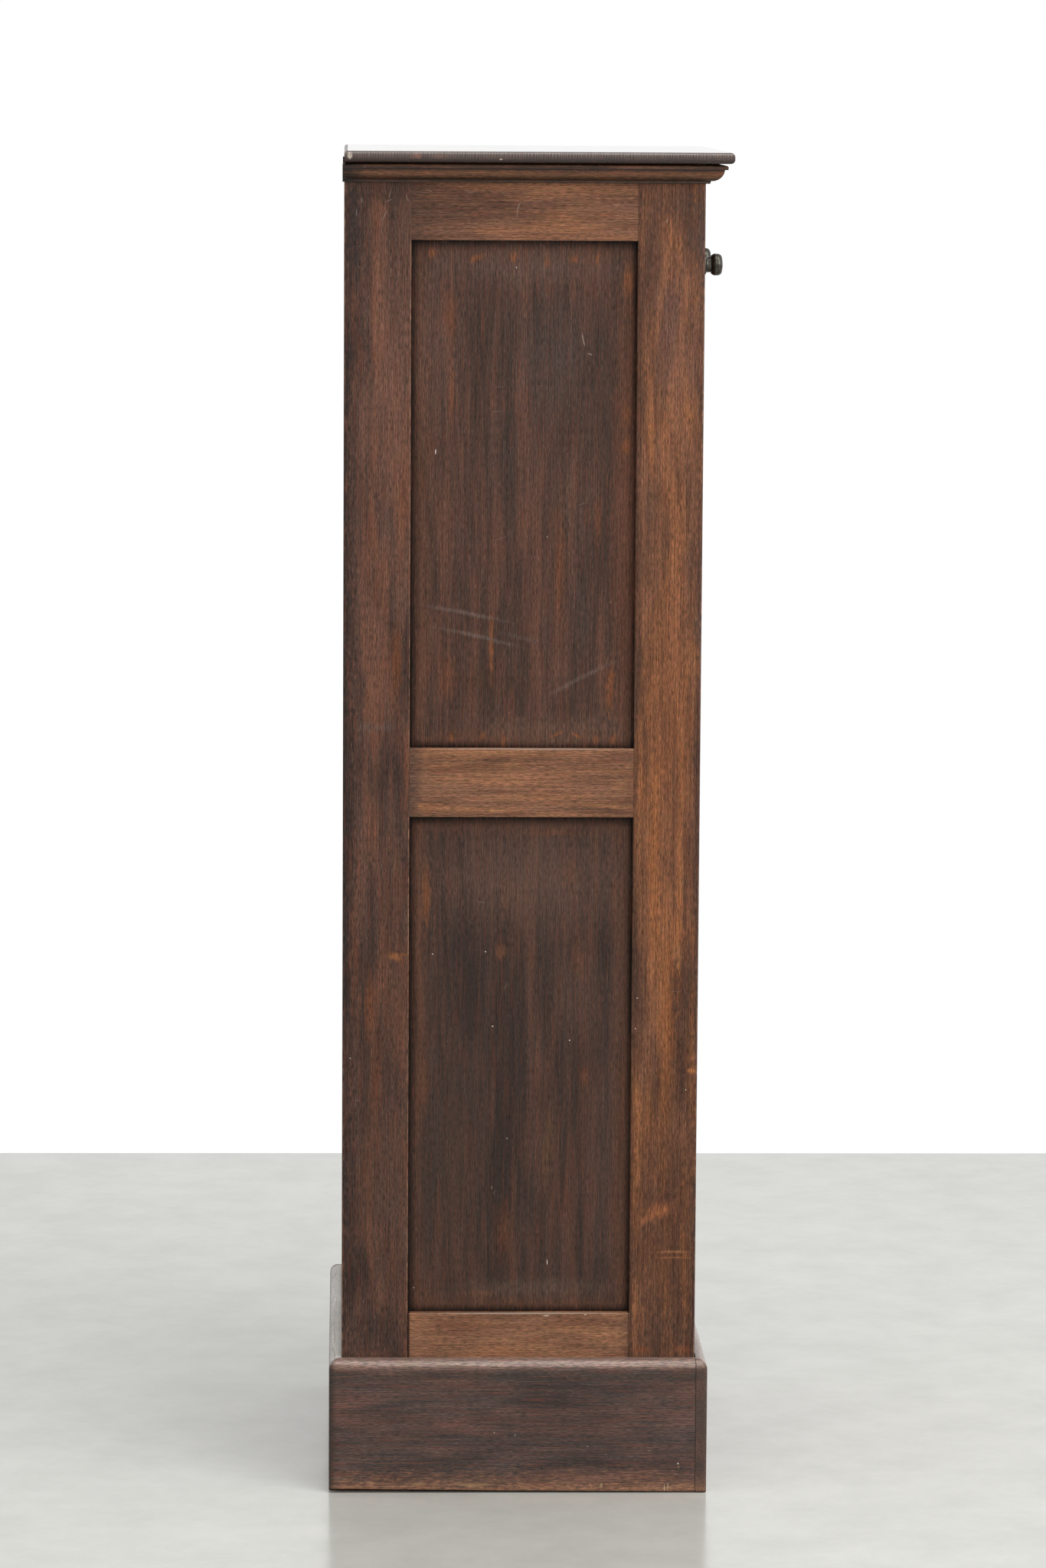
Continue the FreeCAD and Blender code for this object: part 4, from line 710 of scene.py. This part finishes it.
canvas_low, canvas_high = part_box("tambour_canvas")
canvas_width = canvas_high.x - canvas_low.x
canvas_length = canvas_high.z - canvas_low.z
canvas_thickness = 0.0008
canvas_clearance = 0.00005
gap_swell = 0.00015
columns, rows_to_a_slat = 12, 4
cloth = bmesh.new()
bmesh.ops.create_grid(cloth, x_segments=columns, y_segments=slat_count * rows_to_a_slat, size=0.5)
for vert in cloth.verts:
    x, z = vert.co.x * canvas_width, canvas_low.z + (vert.co.y + 0.5) * canvas_length
    near_gap = abs((z - slats_low.z) / slat_pitch % 1 - 0.5)
    swell = gap_swell * max(0.0, near_gap - 0.25) * 4
    vert.co = (x, canvas_low.y + canvas_clearance + swell, z)
bmesh.ops.recalc_face_normals(cloth, faces=cloth.faces)
if next(iter(cloth.faces)).normal.y < 0:
    bmesh.ops.reverse_faces(cloth, faces=cloth.faces)
bmesh.ops.solidify(cloth, geom=cloth.faces[:], thickness=-canvas_thickness)
bmesh.ops.recalc_face_normals(cloth, faces=cloth.faces)
mesh = bpy.data.meshes.new("canvas")
cloth.to_mesh(mesh)
cloth.free()
canvas = bpy.data.objects.new("canvas", mesh)
bpy.context.scene.collection.objects.link(canvas)

linen = bpy.data.materials.new("unbleached_linen")
linen.use_nodes = True
tree = linen.node_tree
point = add(tree, "ShaderNodeTexCoord")["Object"]
# Plain weave of about 9 threads to the centimetre: raised warp and weft, uneven thread, glue stains between
thread = 0.0011
glue_stain = 0.018
weave = {}
for way, direction in (("warp", "X"), ("weft", "Z")):
    weave[way] = add(tree, "ShaderNodeTexWave", {"Vector": point, "Scale": wave_at_scale_1 / thread,
                                                 "Distortion": 1.2, "Detail": 2},
                     wave_type="BANDS", bands_direction=direction)["Fac"]
raised = add(tree, "ShaderNodeMath", {0: weave["warp"], 1: weave["weft"]}, operation="MULTIPLY")[0]
slub = add(tree, "ShaderNodeTexNoise", {"Vector": point, "Scale": 1 / glue_stain, "Detail": 4})["Fac"]
colour = add(tree, "ShaderNodeMix", {0: raised, 6: linear("#6d5f49"), 7: linear("#a4977c")},
             data_type="RGBA")[2]
stain = add(tree, "ShaderNodeMapRange", {0: slub, 1: 0.45, 2: 0.75, 3: 0.0, 4: 0.5})[0]
colour = add(tree, "ShaderNodeMix", {0: stain, 6: colour, 7: linear("#6f5233")}, data_type="RGBA")[2]
surface = add(tree, "ShaderNodeBump", {"Strength": 0.5, "Distance": 0.0003, "Height": raised})[0]
shader = tree.nodes["Principled BSDF"]
tree.links.new(colour, shader.inputs["Base Color"])
tree.links.new(surface, shader.inputs["Normal"])
shader.inputs["Roughness"].default_value = 0.85
shader.inputs["Specular IOR Level"].default_value = 0.1
mesh.materials.append(linen)
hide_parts("tambour_canvas")
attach(canvas, "carcass")
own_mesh(canvas)


# Lead rail: the stout top rail of the curtain, which carries two turned knobs and a mortise lock. The brass
# keyhole plate is let in flush between the knobs and held by two small screws.

dress(stained_oak("lead_rail_oak", "X", slat_tones, 75), "lead_rail")
bronze = worn_metal("darkened_bronze", "#56544d", "#3d3934", 0.35, 7, 0.03)
dress(bronze, "knob_left", "knob_right")
brass = worn_metal("dulled_brass", "#a07c3f", "#5f4a2a", 0.38, 5)
dress(brass, "key_plate", "lock_case", "lock_screws")
dress(steel, "knob_bolts", "lock_bolt")
plate_low, plate_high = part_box("key_plate")
plate_inset = 0.004
plate_screws = {"Head radius": 0.0020, "Head rise": 0.0010, "Slot width": 0.0006, "Columns": 1, "Rows": 2,
                "Across": 0.0, "Up": plate_high.z - plate_low.z - 2 * plate_inset}
plate_middle = ((plate_low.x + plate_high.x) / 2, plate_low.y, (plate_low.z + plate_high.z) / 2)
place = facing((1, 0, 0), (0, 0, 1), plate_middle)
screws = realized("key_plate_screws", screw_tree("brass_screws", brass), plate_screws, place)
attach(screws, "shutter")


# Floor, light and camera: a pale sealed floor that ends against white, a large soft lamp to the right and
# another overhead, and a long lens a little above the top board.

scene = bpy.context.scene
scene.view_settings.view_transform = "Standard"
floor_reach = 1.9
mesh = bpy.data.meshes.new("floor")
corners = [(-floor_reach, -floor_reach, 0), (floor_reach, -floor_reach, 0), (floor_reach, floor_reach, 0),
           (-floor_reach, floor_reach, 0)]
mesh.from_pydata(corners, [], [(0, 1, 2, 3)])
floor = bpy.data.objects.new("floor", mesh)
scene.collection.objects.link(floor)
# Trowelled concrete under a clear seal: pale, faintly clouded, and a soft mirror for what stands on it
clouds_to_a_metre = 9
concrete = bpy.data.materials.new("sealed_concrete")
concrete.use_nodes = True
tree = concrete.node_tree
point = add(tree, "ShaderNodeTexCoord")["Object"]
mottle = add(tree, "ShaderNodeTexNoise", {"Vector": point, "Scale": clouds_to_a_metre, "Detail": 6,
                                          "Roughness": 0.68})["Fac"]
mottle = add(tree, "ShaderNodeMapRange", {0: mottle, 1: 0.36, 2: 0.64})[0]
colour = add(tree, "ShaderNodeMix", {0: mottle, 6: linear("#c5c5be"), 7: linear("#d0d0c9")},
             data_type="RGBA")[2]
sealed = add(tree, "ShaderNodeMapRange", {0: mottle, 3: 0.2, 4: 0.16})[0]
shader = tree.nodes["Principled BSDF"]
tree.links.new(colour, shader.inputs["Base Color"])
tree.links.new(sealed, shader.inputs["Roughness"])
shader.inputs["Specular IOR Level"].default_value = 0.65
mesh.materials.append(concrete)

# White all round to the eye and in mirrors, and dimmer as light
world = bpy.data.worlds.new("studio")
scene.world = world
world.use_nodes = True
tree = world.node_tree
tree.nodes.clear()
ray = add(tree, "ShaderNodeLightPath")
seen = ray["Is Camera Ray"]
for kind in ("Is Glossy Ray", "Is Transmission Ray"):
    seen = add(tree, "ShaderNodeMath", {0: seen, 1: ray[kind]}, operation="MAXIMUM")[0]
ambient_level = 0.6
dim = add(tree, "ShaderNodeBackground", {"Color": (1, 1, 1, 1), "Strength": ambient_level})[0]
white = add(tree, "ShaderNodeBackground", {"Color": (1, 1, 1, 1), "Strength": 1.0})[0]
sky = add(tree, "ShaderNodeMixShader", {0: seen, 1: dim, 2: white})[0]
add(tree, "ShaderNodeOutputWorld", {"Surface": sky})

# Each lamp: its place, what it points at, its side in metres and its watts
lamps = {"key_lamp": ((-3.2, -2.6, 2.9), (-0.27, 0.0, 0.85), 3.4, 92),
         "top_lamp": ((-0.9, -0.4, 4.2), (-0.2, 0.0, 0.8), 1.8, 60)}
for name, (place, target, side, power) in lamps.items():
    light = bpy.data.lights.new(name, "AREA")
    light.size = side
    light.energy = power
    lamp = bpy.data.objects.new(name, light)
    lamp.location = place
    lamp.rotation_euler = (Vector(target) - Vector(place)).to_track_quat("-Z", "Y").to_euler()
    lamp.visible_camera = False
    scene.collection.objects.link(lamp)

camera_place = (-7.0204, 0.2171, 1.6936)
photo_height = 2048
focal_length_in_pixels = 7492
yaw_to_the_right = radians(1.784)
pitch_down = radians(7.062)
roll = radians(0.354)
lens = bpy.data.cameras.new("camera")
lens.sensor_width = 36.0
lens.lens = focal_length_in_pixels / photo_height * lens.sensor_width
camera = bpy.data.objects.new("camera", lens)
camera.matrix_world = (Matrix.Translation(camera_place)
                       @ Matrix.Rotation(-pi / 2 - yaw_to_the_right, 4, "Z")
                       @ Matrix.Rotation(pi / 2 - pitch_down, 4, "X")
                       @ Matrix.Rotation(roll, 4, "Z"))
scene.collection.objects.link(camera)
scene.camera = camera
